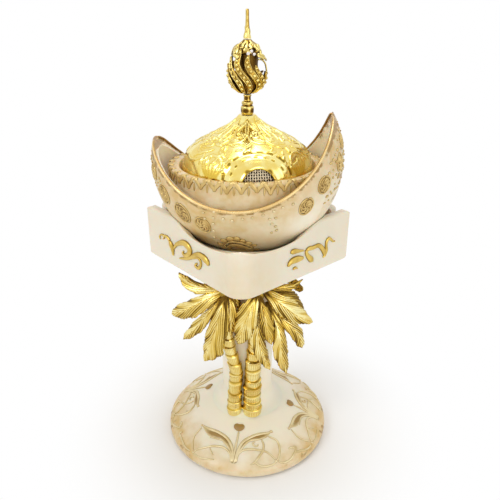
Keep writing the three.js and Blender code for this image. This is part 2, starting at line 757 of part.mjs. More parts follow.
function spikeBody() {
  return lathe([
    [0, spikeBottom],
    [spikeRadius, spikeBottom],
    [spikeRadius * 0.75, spikeBottom + spikeHeight * 0.3],
    [spikeTipRadius * 1.25, spikeBottom + spikeHeight * 0.7],
    [spikeTipRadius, spikeBottom + spikeHeight * 0.95],
    [0, spikeBottom + spikeHeight],
  ], 14);
}

const roofUnderside = domeTop - domeWall;
const finialWasherTop = roofUnderside - seatGap;
const screwHeadTop = finialWasherTop - finialWasherThickness - seatGap;

function screwBody() {
  const head = rod(screwHeadRadius, screwHeadTop - screwHeadHeight, screwHeadHeight, 6);
  return head.add(rod(screwRadius, screwHeadTop - seatGap, spoolBottom + spoolHeight - screwHeadTop, 14));
}

function ringPlate(outerRadius, innerRadius, bottom, thickness) {
  return ringLathe([
    [innerRadius, bottom], [outerRadius, bottom], [outerRadius, bottom + thickness], [innerRadius, bottom + thickness],
  ], coarse);
}

function nut(bottom) {
  return ringLathe([
    [rodBoreRadius, bottom], [nutRadius, bottom], [nutRadius, bottom + nutHeight], [rodBoreRadius, bottom + nutHeight],
  ], 6 * 3).intersect(rod(nutRadius, bottom, nutHeight, 6));
}

// Materials
const resin = new THREE.MeshStandardMaterial({ color: 0xefe4cd, roughness: 0.45, metalness: 0 });
const amberResin = new THREE.MeshStandardMaterial({ color: 0xe2c796, roughness: 0.45, metalness: 0 });
const antiqueGold = new THREE.MeshStandardMaterial({ color: 0xc99a2e, roughness: 0.4, metalness: 0.8 });
const domeGold = new THREE.MeshStandardMaterial({ color: 0xf0cf4a, roughness: 0.2, metalness: 1 });
const steel = new THREE.MeshStandardMaterial({ color: 0xa9acb0, roughness: 0.4, metalness: 1 });
const felt = new THREE.MeshStandardMaterial({ color: 0x3a3a38, roughness: 0.95, metalness: 0 });
const pad = new THREE.MeshStandardMaterial({ color: 0xd8d4ca, roughness: 0.9, metalness: 0 });

const burner = new THREE.Group();

function place(name, whole, material, turn = 0) {
  const mesh = new THREE.Mesh(geometryOf(whole), material);
  mesh.name = name;
  mesh.rotation.z = turn;
  burner.add(mesh);
}

place('felt_pad', rod(feltRadius, 0, feltThickness, fine), felt);
place('base_disc', footBody(), resin);
place('column', columnBody(0).subtract(rod(rodBoreRadius, 0, columnHeadHeight + cutOverrun, coarse)), resin);

const palms = frontPalms();
for (const [side, turn] of [['front', 0], ['back', Math.PI]]) {
  for (const [piece, whole] of Object.entries(palms)) place(`${side}_${piece}`, whole, antiqueGold, turn);
}

place('capital_core', coreBody(), resin);
place('front_panels', boardPair(0), resin);
place('back_panels', boardPair(backBoardShortening), resin, Math.PI);
place('crescent_bowl', bowlBody(), amberResin);
place('seat_collar', collarBody(), amberResin);

const baseWasherTop = baseBottom + baseUnderBoreDepth - seatGap;
const bowlWasherBottom = bowlNutWellFloor + seatGap;
const baseNutBottom = baseWasherTop - washerThickness - seatGap - nutHeight;
const rodBottom = baseBottom + seatGap;
place('tie_rod', rod(rodRadius, rodBottom, rodTopHeight - rodBottom, coarse), steel);
place('base_washer', ringPlate(washerRadius, rodBoreRadius, baseWasherTop - washerThickness, washerThickness), steel);
place('base_nut', nut(baseNutBottom), steel);
place('bowl_washer', ringPlate(washerRadius, rodBoreRadius, bowlWasherBottom, washerThickness), steel);
place('bowl_nut', nut(bowlWasherBottom + washerThickness + seatGap), steel);
place('heat_pad', rod(padRadius, padBottom, padThickness, medium), pad);
place('charcoal_cup', cupBody(), steel);

place('dome_base_ring', ringBody(), domeGold);
place('dome_shell', domeShellBody(), domeGold);
place('mesh_liner', linerBody(), steel);
place('finial_spool', spoolBody(), domeGold);
place('finial_bud', budBody(), antiqueGold);
place('finial_petals', petalsBody(), antiqueGold);
place('finial_spike', spikeBody(), antiqueGold);
place('finial_screw', screwBody(), steel);
place('finial_washer', ringPlate(finialWasherRadius, screwRadius + seatGap, finialWasherTop - finialWasherThickness,
  finialWasherThickness), steel);

export default burner;
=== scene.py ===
"""Mabkhara incense burner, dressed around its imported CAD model.

Shapes are worked out in millimetres and written in metres, in the frame of the CAD model: +Z up, the
front towards -Y, the origin under the middle of the round foot. Azimuths are counted from the front,
-Y, towards +X.
"""

import math

import bmesh
import bpy
import numpy as np
from mathutils import Euler, Matrix, Vector
from mathutils.kdtree import KDTree


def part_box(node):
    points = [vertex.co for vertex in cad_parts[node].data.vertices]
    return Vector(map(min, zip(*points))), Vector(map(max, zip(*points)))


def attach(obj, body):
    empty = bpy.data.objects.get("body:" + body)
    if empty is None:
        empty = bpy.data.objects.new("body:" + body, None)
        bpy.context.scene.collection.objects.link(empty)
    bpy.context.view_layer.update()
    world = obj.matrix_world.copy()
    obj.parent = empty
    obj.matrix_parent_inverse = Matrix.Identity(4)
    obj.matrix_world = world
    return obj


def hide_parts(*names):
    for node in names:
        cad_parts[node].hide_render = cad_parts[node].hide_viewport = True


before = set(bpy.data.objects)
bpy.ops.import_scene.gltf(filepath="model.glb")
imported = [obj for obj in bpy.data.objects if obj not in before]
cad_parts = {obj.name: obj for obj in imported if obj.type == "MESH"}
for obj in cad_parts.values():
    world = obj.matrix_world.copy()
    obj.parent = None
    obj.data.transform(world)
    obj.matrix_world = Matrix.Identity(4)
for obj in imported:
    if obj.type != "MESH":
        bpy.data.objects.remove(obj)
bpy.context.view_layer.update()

bl_info = {
    "name": "Mabkhara incense burner",
    "version": (1, 0, 0),
    "blender": (4, 5, 0),
    "location": "View3D > Sidebar > Burner",
    "description": "Dresses the packed incense burner with its resin, gilding, relief and dome",
    "category": "Object",
}

MM = 0.001
FULL_TURN = 2 * math.pi
# What a finish reads at each vertex: dark in the grooves and in painted shade and dark reflections, washed
# with amber and with painted shade and light in places, rubbed with gold
MASKS = ("groove", "wash", "rub")
# Vertices closer than this, in millimetres, become one
WELD = 1e-5
# The gap that the CAD model leaves between pieces that touch
SEAT_GAP = 0.3
CUT_EDGE_DEGREES = 40


# Places that come from the CAD model, in millimetres


def low(node, axis="z"):
    """The node's lowest coordinate along an axis."""
    return getattr(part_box(node)[0], axis) / MM


def high(node, axis="z"):
    """The node's highest coordinate along an axis."""
    return getattr(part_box(node)[1], axis) / MM


FOOT_RADIUS = high("base_disc", "x")
FOOT_BOTTOM = low("base_disc")
FOOT_TOP = high("base_disc")
COLUMN_BOTTOM = low("column")
COLUMN_TOP = high("column")
BOARD_BOTTOM = low("front_panels")
CORNER_FRONT = 66.7
BOARD_THICKNESS = 6.0
BOARD_CORNER = 12.0
BOWL_HALF = np.array([59.3, 51.0, 59.0])
BOWL_CENTRE_Z = BOARD_BOTTOM + 65.4
BOWL_WALL = 4.2
DECK_Z = low("seat_collar") - SEAT_GAP
CUT_RADIUS = 57.1
CUT_RISE = 37.1
CUT_SHIFT = -5.4
CUT_LEAN = math.radians(3.4)
COLLAR_LENGTH = high("seat_collar", "x")
COLLAR_DEPTH = high("seat_collar", "y")
COLLAR_BOTTOM = low("seat_collar")
COLLAR_TOP = high("seat_collar")
RING_BOTTOM = low("dome_base_ring")
RING_TOP = high("dome_base_ring")
SHELL_BOTTOM = low("dome_shell")
SHELL_TOP = high("dome_shell")
SHELL_RADIUS = high("dome_shell", "x")
ROD_BORE = 3.4


# Meshes


def smooth_line(points, count):
    """A smooth line of count points through the given points, by share of their distance."""
    rows = np.asarray(points, float)
    gaps = np.linalg.norm(np.diff(rows, axis=0), axis=1)
    marks = np.concatenate([[0], np.cumsum(np.maximum(gaps, 1e-9))])
    marks /= marks[-1]
    padded = np.vstack([2 * rows[0] - rows[1], rows, 2 * rows[-1] - rows[-2]])
    shares = np.linspace(0, 1, count)
    spans = np.clip(np.searchsorted(marks, shares, side="right") - 1, 0, len(rows) - 2)
    t = ((shares - marks[spans]) / (marks[spans + 1] - marks[spans]))[:, None]
    a, b, c, d = (padded[spans + k] for k in range(4))
    return 0.5 * (2 * b + (c - a) * t + (2 * a - 5 * b + 4 * c - d) * t**2 + (3 * b - a - 3 * c + d) * t**3)


def ease(low_edge, high_edge, values):
    """A smooth step from 0 at low_edge to 1 at high_edge."""
    t = np.clip((np.asarray(values, float) - low_edge) / (high_edge - low_edge), 0, 1)
    return t * t * (3 - 2 * t)


def new_mesh():
    """An empty bmesh with the masks that the finishes read."""
    bm = bmesh.new()
    for mask in MASKS:
        bm.verts.layers.float.new(mask)
    return bm


def add_form(bm, across, along, shape):
    """Adds a grid bent by shape(across share, along share) -> points and masks, its seams closed."""
    made = bmesh.ops.create_grid(bm, x_segments=across, y_segments=along, size=0.5)["verts"]
    flat = np.array([v.co[:] for v in made]) + 0.5
    points, masks = shape(flat[:, 0], flat[:, 1])
    layers = {mask: bm.verts.layers.float[mask] for mask in masks}
    for i, vert in enumerate(made):
        vert.co = points[i]
        for mask, values in masks.items():
            vert[layers[mask]] = float(values[i])
    bmesh.ops.remove_doubles(bm, verts=made, dist=WELD)


def add_spun(bm, profile, steps, closed=True):
    """Adds a profile of (radius, height) turned once round the axis."""
    line = [bm.verts.new((radius, 0, height)) for radius, height in profile]
    pairs = list(zip(line, line[1:]))
    if closed:
        pairs.append((line[-1], line[0]))
    edges = [bm.edges.new(pair) for pair in pairs]
    made = bmesh.ops.spin(
        bm, geom=line + edges, axis=(0, 0, 1), cent=(0, 0, 0), angle=FULL_TURN, steps=steps,
        use_merge=True,
    )
    bmesh.ops.remove_doubles(bm, verts=bm.verts, dist=WELD)
    return made


def vertices_of(obj):
    """The piece's vertices in millimetres, as an array."""
    points = np.zeros(len(obj.data.vertices) * 3)
    obj.data.vertices.foreach_get("co", points)
    return points.reshape(-1, 3) / MM


def move_vertices(obj, points):
    """Writes an array of millimetres back to the piece's vertices."""
    obj.data.vertices.foreach_set("co", (points * MM).ravel())
    obj.data.update()


def write_masks(obj, **masks):
    """Writes masks of the finish, kept within 0 and 1, to the piece's vertices."""
    for mask, values in masks.items():
        layer = obj.data.attributes.get(mask) or obj.data.attributes.new(mask, "FLOAT", "POINT")
        spread = np.broadcast_to(np.clip(values, 0, 1), len(obj.data.vertices))
        layer.data.foreach_set("value", np.ascontiguousarray(spread, np.float32))


def unit(rows):
    """Rows of vectors, each brought to length 1."""
    return rows / np.linalg.norm(rows, axis=1)[:, None]


def round_axis(turn, reach, height):
    """Points round the upright axis, from radians counted from the front, distance and height."""
    return np.stack(np.broadcast_arrays(reach * np.sin(turn), -reach * np.cos(turn), height), axis=1)


def turn_and_reach(points):
    """Each point's radians round the axis from the front, and its distance from the axis."""
    return np.arctan2(points[:, 0], -points[:, 1]), np.hypot(points[:, 0], points[:, 1])


def turn_from(azimuth, middle):
    """Degrees from a middle azimuth, between -180 and 180."""
    return (np.asarray(azimuth) - middle + 180) % 360 - 180


def peak(values, centre, width):
    """A smooth peak of 1 at centre that falls away over width."""
    return np.exp(-(((values - centre) / width) ** 2))


def turn_to_back(bm):
    """Turns a shape half round the axis, from the front to the back."""
    bmesh.ops.rotate(bm, verts=bm.verts, cent=(0, 0, 0), matrix=Matrix.Rotation(math.pi, 3, "Z"))


def cylinder(radius, depth, steps):
    """A new bmesh that holds an upright cylinder about the origin."""
    bm = bmesh.new()
    bmesh.ops.create_cone(bm, cap_ends=True, segments=steps, radius1=radius, radius2=radius, depth=depth)
    return bm


def finish(bm, name, crease_degrees=CUT_EDGE_DEGREES):
    """Makes the bmesh, in millimetres, a smooth object at the origin, in metres."""
    bmesh.ops.recalc_face_normals(bm, faces=bm.faces)
    bmesh.ops.scale(bm, vec=(MM, MM, MM), verts=bm.verts)
    mesh = bpy.data.meshes.new(name)
    bm.to_mesh(mesh)
    bm.free()
    mesh.polygons.foreach_set("use_smooth", [True] * len(mesh.polygons))
    mesh.set_sharp_from_angle(angle=math.radians(crease_degrees))
    obj = bpy.data.objects.new(name, mesh)
    bpy.context.scene.collection.objects.link(obj)
    return obj


def dress(obj, finish_name, body, slot, *nodes):
    """Gives a piece its finish and its body, and hides the CAD nodes that it stands for; the slot is not
    used.
    """
    material = finish_material(finish_name)
    if obj.data.materials:
        obj.data.materials[0] = material
    else:
        obj.data.materials.append(material)
    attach(obj, body)
    if nodes:
        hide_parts(*nodes)
    return obj


def cut_away(obj, *cutters):
    """Cuts other solids out of a piece and removes them."""
    for cutter in cutters:
        step = obj.modifiers.new("cut", "BOOLEAN")
        step.operation = "DIFFERENCE"
        step.solver = "EXACT"
        step.object = cutter
    settle(obj)
    for cutter in cutters:
        bpy.data.objects.remove(cutter)


def point_tree(points):
    """A search tree of points."""
    tree = KDTree(len(points))
    for i, spot in enumerate(points):
        tree.insert(spot, i)
    tree.balance()
    return tree


def settle(obj):
    """Applies a piece's modifiers to its mesh and keeps the masks of its vertices."""
    before = vertices_of(obj)
    tree = point_tree(before)
    kept = {}
    for mask in MASKS:
        layer = obj.data.attributes.get(mask)
        if layer:
            kept[mask] = np.zeros(len(before), np.float32)
            layer.data.foreach_get("value", kept[mask])
    graph = bpy.context.evaluated_depsgraph_get()
    graph.update()
    settled = bpy.data.meshes.new_from_object(obj.evaluated_get(graph))
    obj.modifiers.clear()
    old = obj.data
    obj.data = settled
    bpy.data.meshes.remove(old)
    settled.materials.clear()
    settled.polygons.foreach_set("material_index", [0] * len(settled.polygons))
    settled.polygons.foreach_set("use_smooth", [True] * len(settled.polygons))
    settled.set_sharp_from_angle(angle=math.radians(CUT_EDGE_DEGREES))
    nearest = [tree.find(spot)[1] for spot in vertices_of(obj)]
    write_masks(obj, **{mask: values[nearest] for mask, values in kept.items()})


def add_ridge(bm, points, normals, widths, height, sides=10, sunk=0.35, tone=0.0):
    """Adds a round raised line along points on a surface, with tapering half widths."""
    points = np.asarray(points, float)
    normals = np.asarray(normals, float)
    tangents = np.gradient(points, axis=0)
    tangents /= np.linalg.norm(tangents, axis=1)[:, None] + 1e-12
    across_way = np.cross(tangents, normals)
    across_way /= np.linalg.norm(across_way, axis=1)[:, None] + 1e-12
    widths = np.asarray(widths, float)
    last = len(points) - 1

    def shape(across, along):
        row = np.clip(np.rint(along * last).astype(int), 0, last)
        angle = across * FULL_TURN
        closing = np.where((row == 0) | (row == last), 0.0, 1.0)
        side = np.cos(angle) * widths[row] * closing
        rise = np.sin(angle)
        lift = np.where(rise > 0, rise * height[row] * closing, rise * sunk)
        bent = points[row] + across_way[row] * side[:, None] + normals[row] * lift[:, None]
        top = np.clip(rise, 0, 1)
        return bent, {"rub": top, "groove": np.maximum(1 - ease(0.1, 0.7, top), tone)}

    add_form(bm, sides, last, shape)


def tapered(count, start, middle, end):
    """Half widths that swell from start to middle and fall to end."""
    t = np.linspace(0, 1, count)
    return start + (middle - start) * np.sin(np.clip(t * 2, 0, 1) * math.pi / 2) + np.where(
        t > 0.5, (end - middle) * (1 - np.cos(np.clip(t * 2 - 1, 0, 1) * math.pi / 2)), 0
    )


# Surfaces that ornament lies on: each gives points, and most give outward normals


FOOT_SLOPE = np.array([[60, 6.2], [59.2, 7.9], [56, 10.6], [50, 14.0], [43, 17.4], [34, 21.5], [26, 25]])


def foot_height(radius):
    """The height of the foot's upper side at a radius."""
    return np.interp(-np.asarray(radius, float), -FOOT_SLOPE[:, 0], FOOT_SLOPE[:, 1])


def on_foot(azimuth, radius):
    """Points and normals on the foot's upper side, from degrees and millimetres."""
    turn = np.radians(azimuth)
    radius = np.asarray(radius, float)
    points = round_axis(turn, radius, foot_height(radius))
    fall = (foot_height(radius - 0.5) - foot_height(radius + 0.5))
    normals = round_axis(turn, fall, 1.0)
    return points, unit(normals)


def on_board(side, along, up):
    """Points and normals on a front board: side -1 left, 1 right, along from the front corner."""
    root = math.sqrt(0.5)
    along = np.asarray(along, float)
    height = BOARD_BOTTOM + np.asarray(up, float)
    points = np.stack([side * root * along, -CORNER_FRONT + root * along, height], axis=1)
    normal = np.array([side * root, -root, 0.0])
    return points, np.tile(normal, (len(points), 1))


def on_bowl(azimuth, height, grow=0.0):
    """Points and normals on the bowl's outside, from true azimuth in degrees and height."""
    turn = np.radians(azimuth)
    half = BOWL_HALF + grow
    level = np.clip((np.asarray(height, float) - BOWL_CENTRE_Z) / half[2], -0.999, 0.999)
    flat = np.arctan2(np.sin(turn) / half[0], np.cos(turn) / half[1])
    wide = np.sqrt(1 - level**2)
    x = half[0] * np.sin(flat) * wide
    y = -half[1] * np.cos(flat) * wide
    points = np.stack([x, y, BOWL_CENTRE_Z + half[2] * level], axis=1)
    normals = (points - np.array([0, 0, BOWL_CENTRE_Z])) / half**2
    return points, unit(normals)


DOME_SHARES = np.array([
    [1, 0], [0.998, 0.1], [0.994, 0.23], [0.98, 0.34], [0.935, 0.46], [0.875, 0.54], [0.757, 0.627],
    [0.55, 0.732], [0.348, 0.828], [0.232, 0.9], [0.168, 0.955],
])
NECK_RADIUS = 5.2


def dome_outline(count):
    """The dome's outside, from the lower edge to the neck, and the length along it."""
    rise = SHELL_TOP - SHELL_BOTTOM
    rows = np.column_stack([SHELL_RADIUS * DOME_SHARES[:, 0], SHELL_BOTTOM + rise * DOME_SHARES[:, 1]])
    line = smooth_line(np.vstack([rows, [NECK_RADIUS, SHELL_TOP]]), count)
    run = np.concatenate([[0], np.cumsum(np.linalg.norm(np.diff(line, axis=0), axis=1))])
    return line, run


DOME_LINE, DOME_RUN = dome_outline(400)


def on_dome(azimuth, run):
    """Points on the dome's outside, from degrees and millimetres up along its side."""
    turn = np.radians(azimuth)
    radius = np.interp(run, DOME_RUN, DOME_LINE[:, 0])
    height = np.interp(run, DOME_RUN, DOME_LINE[:, 1])
    return round_axis(turn, radius, height)


def rim_line(count, side):
    """The crescent rim's outer edge between the horn tips, side -1 in front and 1 behind."""
    lean_y, lean_z = math.sin(CUT_LEAN), math.cos(CUT_LEAN)
    centre_z = CUT_RISE
    found = []
    for angle in np.linspace(-math.pi, 0, 2401):
        x = CUT_SHIFT + CUT_RADIUS * math.cos(angle)
        # A point on the cutter: its own cross direction, then along its leaning axis
        cross_y, cross_z = CUT_RADIUS * math.sin(angle) * lean_y, CUT_RADIUS * math.sin(angle) * lean_z
        along_y, along_z = lean_z, -lean_y
        a, b, c = BOWL_HALF
        start_y, start_z = cross_y, centre_z + cross_z
        square = along_y**2 / b**2 + along_z**2 / c**2
        middle = 2 * (start_y * along_y / b**2 + start_z * along_z / c**2)
        rest = x**2 / a**2 + start_y**2 / b**2 + start_z**2 / c**2 - 1
        inside = middle**2 - 4 * square * rest
        if inside >= 0:
            reach = (-middle + side * math.sqrt(inside)) / (2 * square)
            found.append((x, start_y + reach * along_y, BOWL_CENTRE_Z + start_z + reach * along_z))
    return smooth_line(np.array(found)[:: max(1, len(found) // 60)], count)


# Shader node groups: each puts out what changes over a surface


def link(tree, source, target):
    """Joins two sockets."""
    tree.links.new(source, target)


def group_tree(name, inputs, outputs):
    """A node group with the given sockets and its input and output nodes."""
    tree = bpy.data.node_groups.new(name, "ShaderNodeTree")
    for label, kind, default in inputs:
        socket = tree.interface.new_socket(name=label, in_out="INPUT", socket_type=kind)
        socket.default_value = default
    for label, kind in outputs:
        tree.interface.new_socket(name=label, in_out="OUTPUT", socket_type=kind)
    return tree, tree.nodes.new("NodeGroupInput"), tree.nodes.new("NodeGroupOutput")


def maths(tree, operation, first, second=None, clamp=False):
    """A Math node. Values are sockets or numbers."""
    node = tree.nodes.new("ShaderNodeMath")
    node.operation = operation
    node.use_clamp = clamp
    for i, value in enumerate((first, second)):
        if value is None:
            continue
        if isinstance(value, (int, float)):
            node.inputs[i].default_value = value
        else:
            link(tree, value, node.inputs[i])
    return node.outputs[0]


def blend_colour(tree, share, first, second, how="MIX"):
    """A colour Mix node. Values are sockets or colours."""
    node = tree.nodes.new("ShaderNodeMix")
    node.data_type = "RGBA"
    node.blend_type = how
    node.clamp_factor = True
    sockets = {s.identifier: s for s in node.inputs}
    for key, value in (("Factor_Float", share), ("A_Color", first), ("B_Color", second)):
        if isinstance(value, (int, float)):
            sockets[key].default_value = value
        elif isinstance(value, (tuple, list)):
            sockets[key].default_value = (*value[:3], 1.0)
        else:
            link(tree, value, sockets[key])
    return {s.identifier: s for s in node.outputs}["Result_Color"]


def stepped(tree, value, start, end, to_low=0.0, to_high=1.0):
    """A smooth Map Range."""
    node = tree.nodes.new("ShaderNodeMapRange")
    node.interpolation_type = "SMOOTHSTEP"
    link(tree, value, node.inputs["Value"])
    for label, number in (("From Min", start), ("From Max", end), ("To Min", to_low), ("To Max", to_high)):
        node.inputs[label].default_value = number
    return node.outputs["Result"]


def noise_of(tree, scale, detail=3.0, roughness=0.55, stretch=None):
    """Noise in object coordinates, its scale a number or socket per metre."""
    place = tree.nodes.new("ShaderNodeTexCoord").outputs["Object"]
    if stretch is not None:
        mapping = tree.nodes.new("ShaderNodeMapping")
        mapping.inputs["Scale"].default_value = stretch
        link(tree, place, mapping.inputs["Vector"])
        place = mapping.outputs["Vector"]
    node = tree.nodes.new("ShaderNodeTexNoise")
    link(tree, place, node.inputs["Vector"])
    node.inputs["Detail"].default_value = detail
    node.inputs["Roughness"].default_value = roughness
    if isinstance(scale, (int, float)):
        node.inputs["Scale"].default_value = scale
    else:
        link(tree, scale, node.inputs["Scale"])
    return node.outputs["Fac"]


def mask_of(tree, mask):
    """The value of a mask on the piece's vertices."""
    node = tree.nodes.new("ShaderNodeAttribute")
    node.attribute_name = mask
    return node.outputs["Fac"]


def roughness_of(tree, given, share):
    """The group's roughness: from its Smooth value to its Rough value by share."""
    span = maths(tree, "SUBTRACT", given.outputs["Rough"], given.outputs["Smooth"])
    return maths(tree, "ADD", given.outputs["Smooth"], maths(tree, "MULTIPLY", span, share))


COLOUR, NUMBER = "NodeSocketColor", "NodeSocketFloat"


def gilding_group():
    """Gilding: bright on what stands out, deeper in patches, brown in the grooves and in painted shade and
    dark reflections.
    """
    tree, given, put = group_tree(
        "gilding",
        [
            ("Bright", COLOUR, (1, 0.8, 0.3, 1)),
            ("Deep", COLOUR, (0.7, 0.45, 0.1, 1)),
            ("Groove", COLOUR, (0.2, 0.1, 0.02, 1)),
            ("Groove depth", NUMBER, 0.85),
            ("Patch scale", NUMBER, 90.0),
            ("Grain scale", NUMBER, 2400.0),
            ("Smooth", NUMBER, 0.22),
            ("Rough", NUMBER, 0.5),
        ],
        [("Color", COLOUR), ("Roughness", NUMBER), ("Height", NUMBER)],
    )
    patch = stepped(tree, noise_of(tree, given.outputs["Patch scale"], 3.0), 0.38, 0.66)
    grain = noise_of(tree, given.outputs["Grain scale"], 2.0, 0.6)
    groove = mask_of(tree, "groove")
    uneven = maths(tree, "ADD", groove, maths(tree, "MULTIPLY", maths(tree, "SUBTRACT", grain, 0.5), 0.35))
    dark = maths(tree, "MULTIPLY", stepped(tree, uneven, 0.35, 0.95), given.outputs["Groove depth"])
    deep = given.outputs["Deep"]
    gold = blend_colour(tree, maths(tree, "MULTIPLY", patch, 0.6), given.outputs["Bright"], deep)
    gold = blend_colour(tree, stepped(tree, groove, 0.05, 0.55), gold, deep)
    link(tree, blend_colour(tree, dark, gold, given.outputs["Groove"]), put.inputs["Color"])
    dulled = maths(tree, "MULTIPLY", dark, 0.7)
    share = maths(tree, "ADD", dulled, maths(tree, "MULTIPLY", grain, 0.3), clamp=True)
    link(tree, roughness_of(tree, given, share), put.inputs["Roughness"])
    link(tree, grain, put.inputs["Height"])
    return tree


def resin_group():
    """Cast resin: clouded ivory, an amber wash and painted shade where the mask says, gold rubbed on what
    stands out.
    """
    tree, given, put = group_tree(
        "washed resin",
        [
            ("Resin", COLOUR, (0.9, 0.85, 0.75, 1)),
            ("Wash", COLOUR, (0.75, 0.58, 0.3, 1)),
            ("Rub", COLOUR, (0.5, 0.33, 0.08, 1)),
            ("Cloud scale", NUMBER, 26.0),
            ("Wash amount", NUMBER, 1.0),
            ("Smooth", NUMBER, 0.3),
            ("Rough", NUMBER, 0.5),
        ],
        [("Color", COLOUR), ("Roughness", NUMBER), ("Height", NUMBER)],
    )
    cloud = noise_of(tree, given.outputs["Cloud scale"], 4.0)
    fine = noise_of(tree, 420.0, 3.0, 0.6)
    mottle = noise_of(tree, 150.0, 3.0, 0.6)
    clouded = stepped(tree, cloud, 0.3, 0.75, 0.0, 0.06)
    shade = blend_colour(tree, clouded, given.outputs["Resin"], given.outputs["Wash"])
    wash = maths(tree, "MULTIPLY", mask_of(tree, "wash"), given.outputs["Wash amount"])
    patchy = maths(tree, "MULTIPLY", wash, stepped(tree, mottle, 0.25, 0.7, 0.62, 1.0), clamp=True)
    washed = blend_colour(tree, patchy, shade, given.outputs["Wash"])
    uneven = maths(tree, "MULTIPLY", maths(tree, "SUBTRACT", fine, 0.5), 0.5)
    rubbed = stepped(tree, maths(tree, "ADD", mask_of(tree, "rub"), uneven), 0.38, 0.8)
    link(tree, blend_colour(tree, rubbed, washed, given.outputs["Rub"]), put.inputs["Color"])
    link(tree, roughness_of(tree, given, fine), put.inputs["Roughness"])
    link(tree, maths(tree, "ADD", maths(tree, "MULTIPLY", fine, 0.4), mottle), put.inputs["Height"])
    return tree


def plain_group():
    """Plain parts: two near colours in patches with a fine grain."""
    tree, given, put = group_tree(
        "plain grain",
        [
            ("First", COLOUR, (0.6, 0.6, 0.6, 1)),
            ("Second", COLOUR, (0.5, 0.5, 0.5, 1)),
            ("Patch scale", NUMBER, 60.0),
            ("Grain scale", NUMBER, 900.0),
            ("Smooth", NUMBER, 0.3),
            ("Rough", NUMBER, 0.5),
        ],
        [("Color", COLOUR), ("Roughness", NUMBER), ("Height", NUMBER)],
    )
    patch = noise_of(tree, given.outputs["Patch scale"], 4.0)
    grain = noise_of(tree, given.outputs["Grain scale"], 3.0, 0.65)
    share = maths(tree, "ADD", maths(tree, "MULTIPLY", patch, 0.6), maths(tree, "MULTIPLY", grain, 0.4))
    colour = blend_colour(tree, share, given.outputs["First"], given.outputs["Second"])
    link(tree, colour, put.inputs["Color"])
    link(tree, roughness_of(tree, given, grain), put.inputs["Roughness"])
    link(tree, grain, put.inputs["Height"])
    return tree


def colours():
    """The colours that a user may change."""
    return bpy.context.scene.burner_colours


def sizes():
    """The sizes that a user may change."""
    return bpy.context.scene.burner_sizes


def gilded_finish(bright, deep, groove, depth, patch, grain, smooth, rough, **shader):
    """A gilded finish: names of three colours, then how dark, patchy, grained and smooth it is."""
    values = {"Bright": bright, "Deep": deep, "Groove": groove, "Groove depth": depth, "Patch scale": patch,
              "Grain scale": grain, "Smooth": smooth, "Rough": rough}
    return {"group": "gilding", "values": values, **shader}


def resin_finish(pale, wash, cloud, amount, smooth, rough, **shader):
    """A resin finish: names of its two colours, then how clouded, washed and smooth it is."""
    values = {"Resin": pale, "Wash": wash, "Rub": "rub", "Cloud scale": cloud, "Wash amount": amount,
              "Smooth": smooth, "Rough": rough}
    return {"group": "washed resin", "values": values, "bump_reach": 0.0003, **shader}


def plain_finish(first, second, patch, grain, smooth, rough, **shader):
    """A plain finish: two colours, then how patchy, grained and smooth it is."""
    values = {"First": first, "Second": second, "Patch scale": patch, "Grain scale": grain, "Smooth": smooth,
              "Rough": rough}
    return {"group": "plain grain", "values": values, **shader}


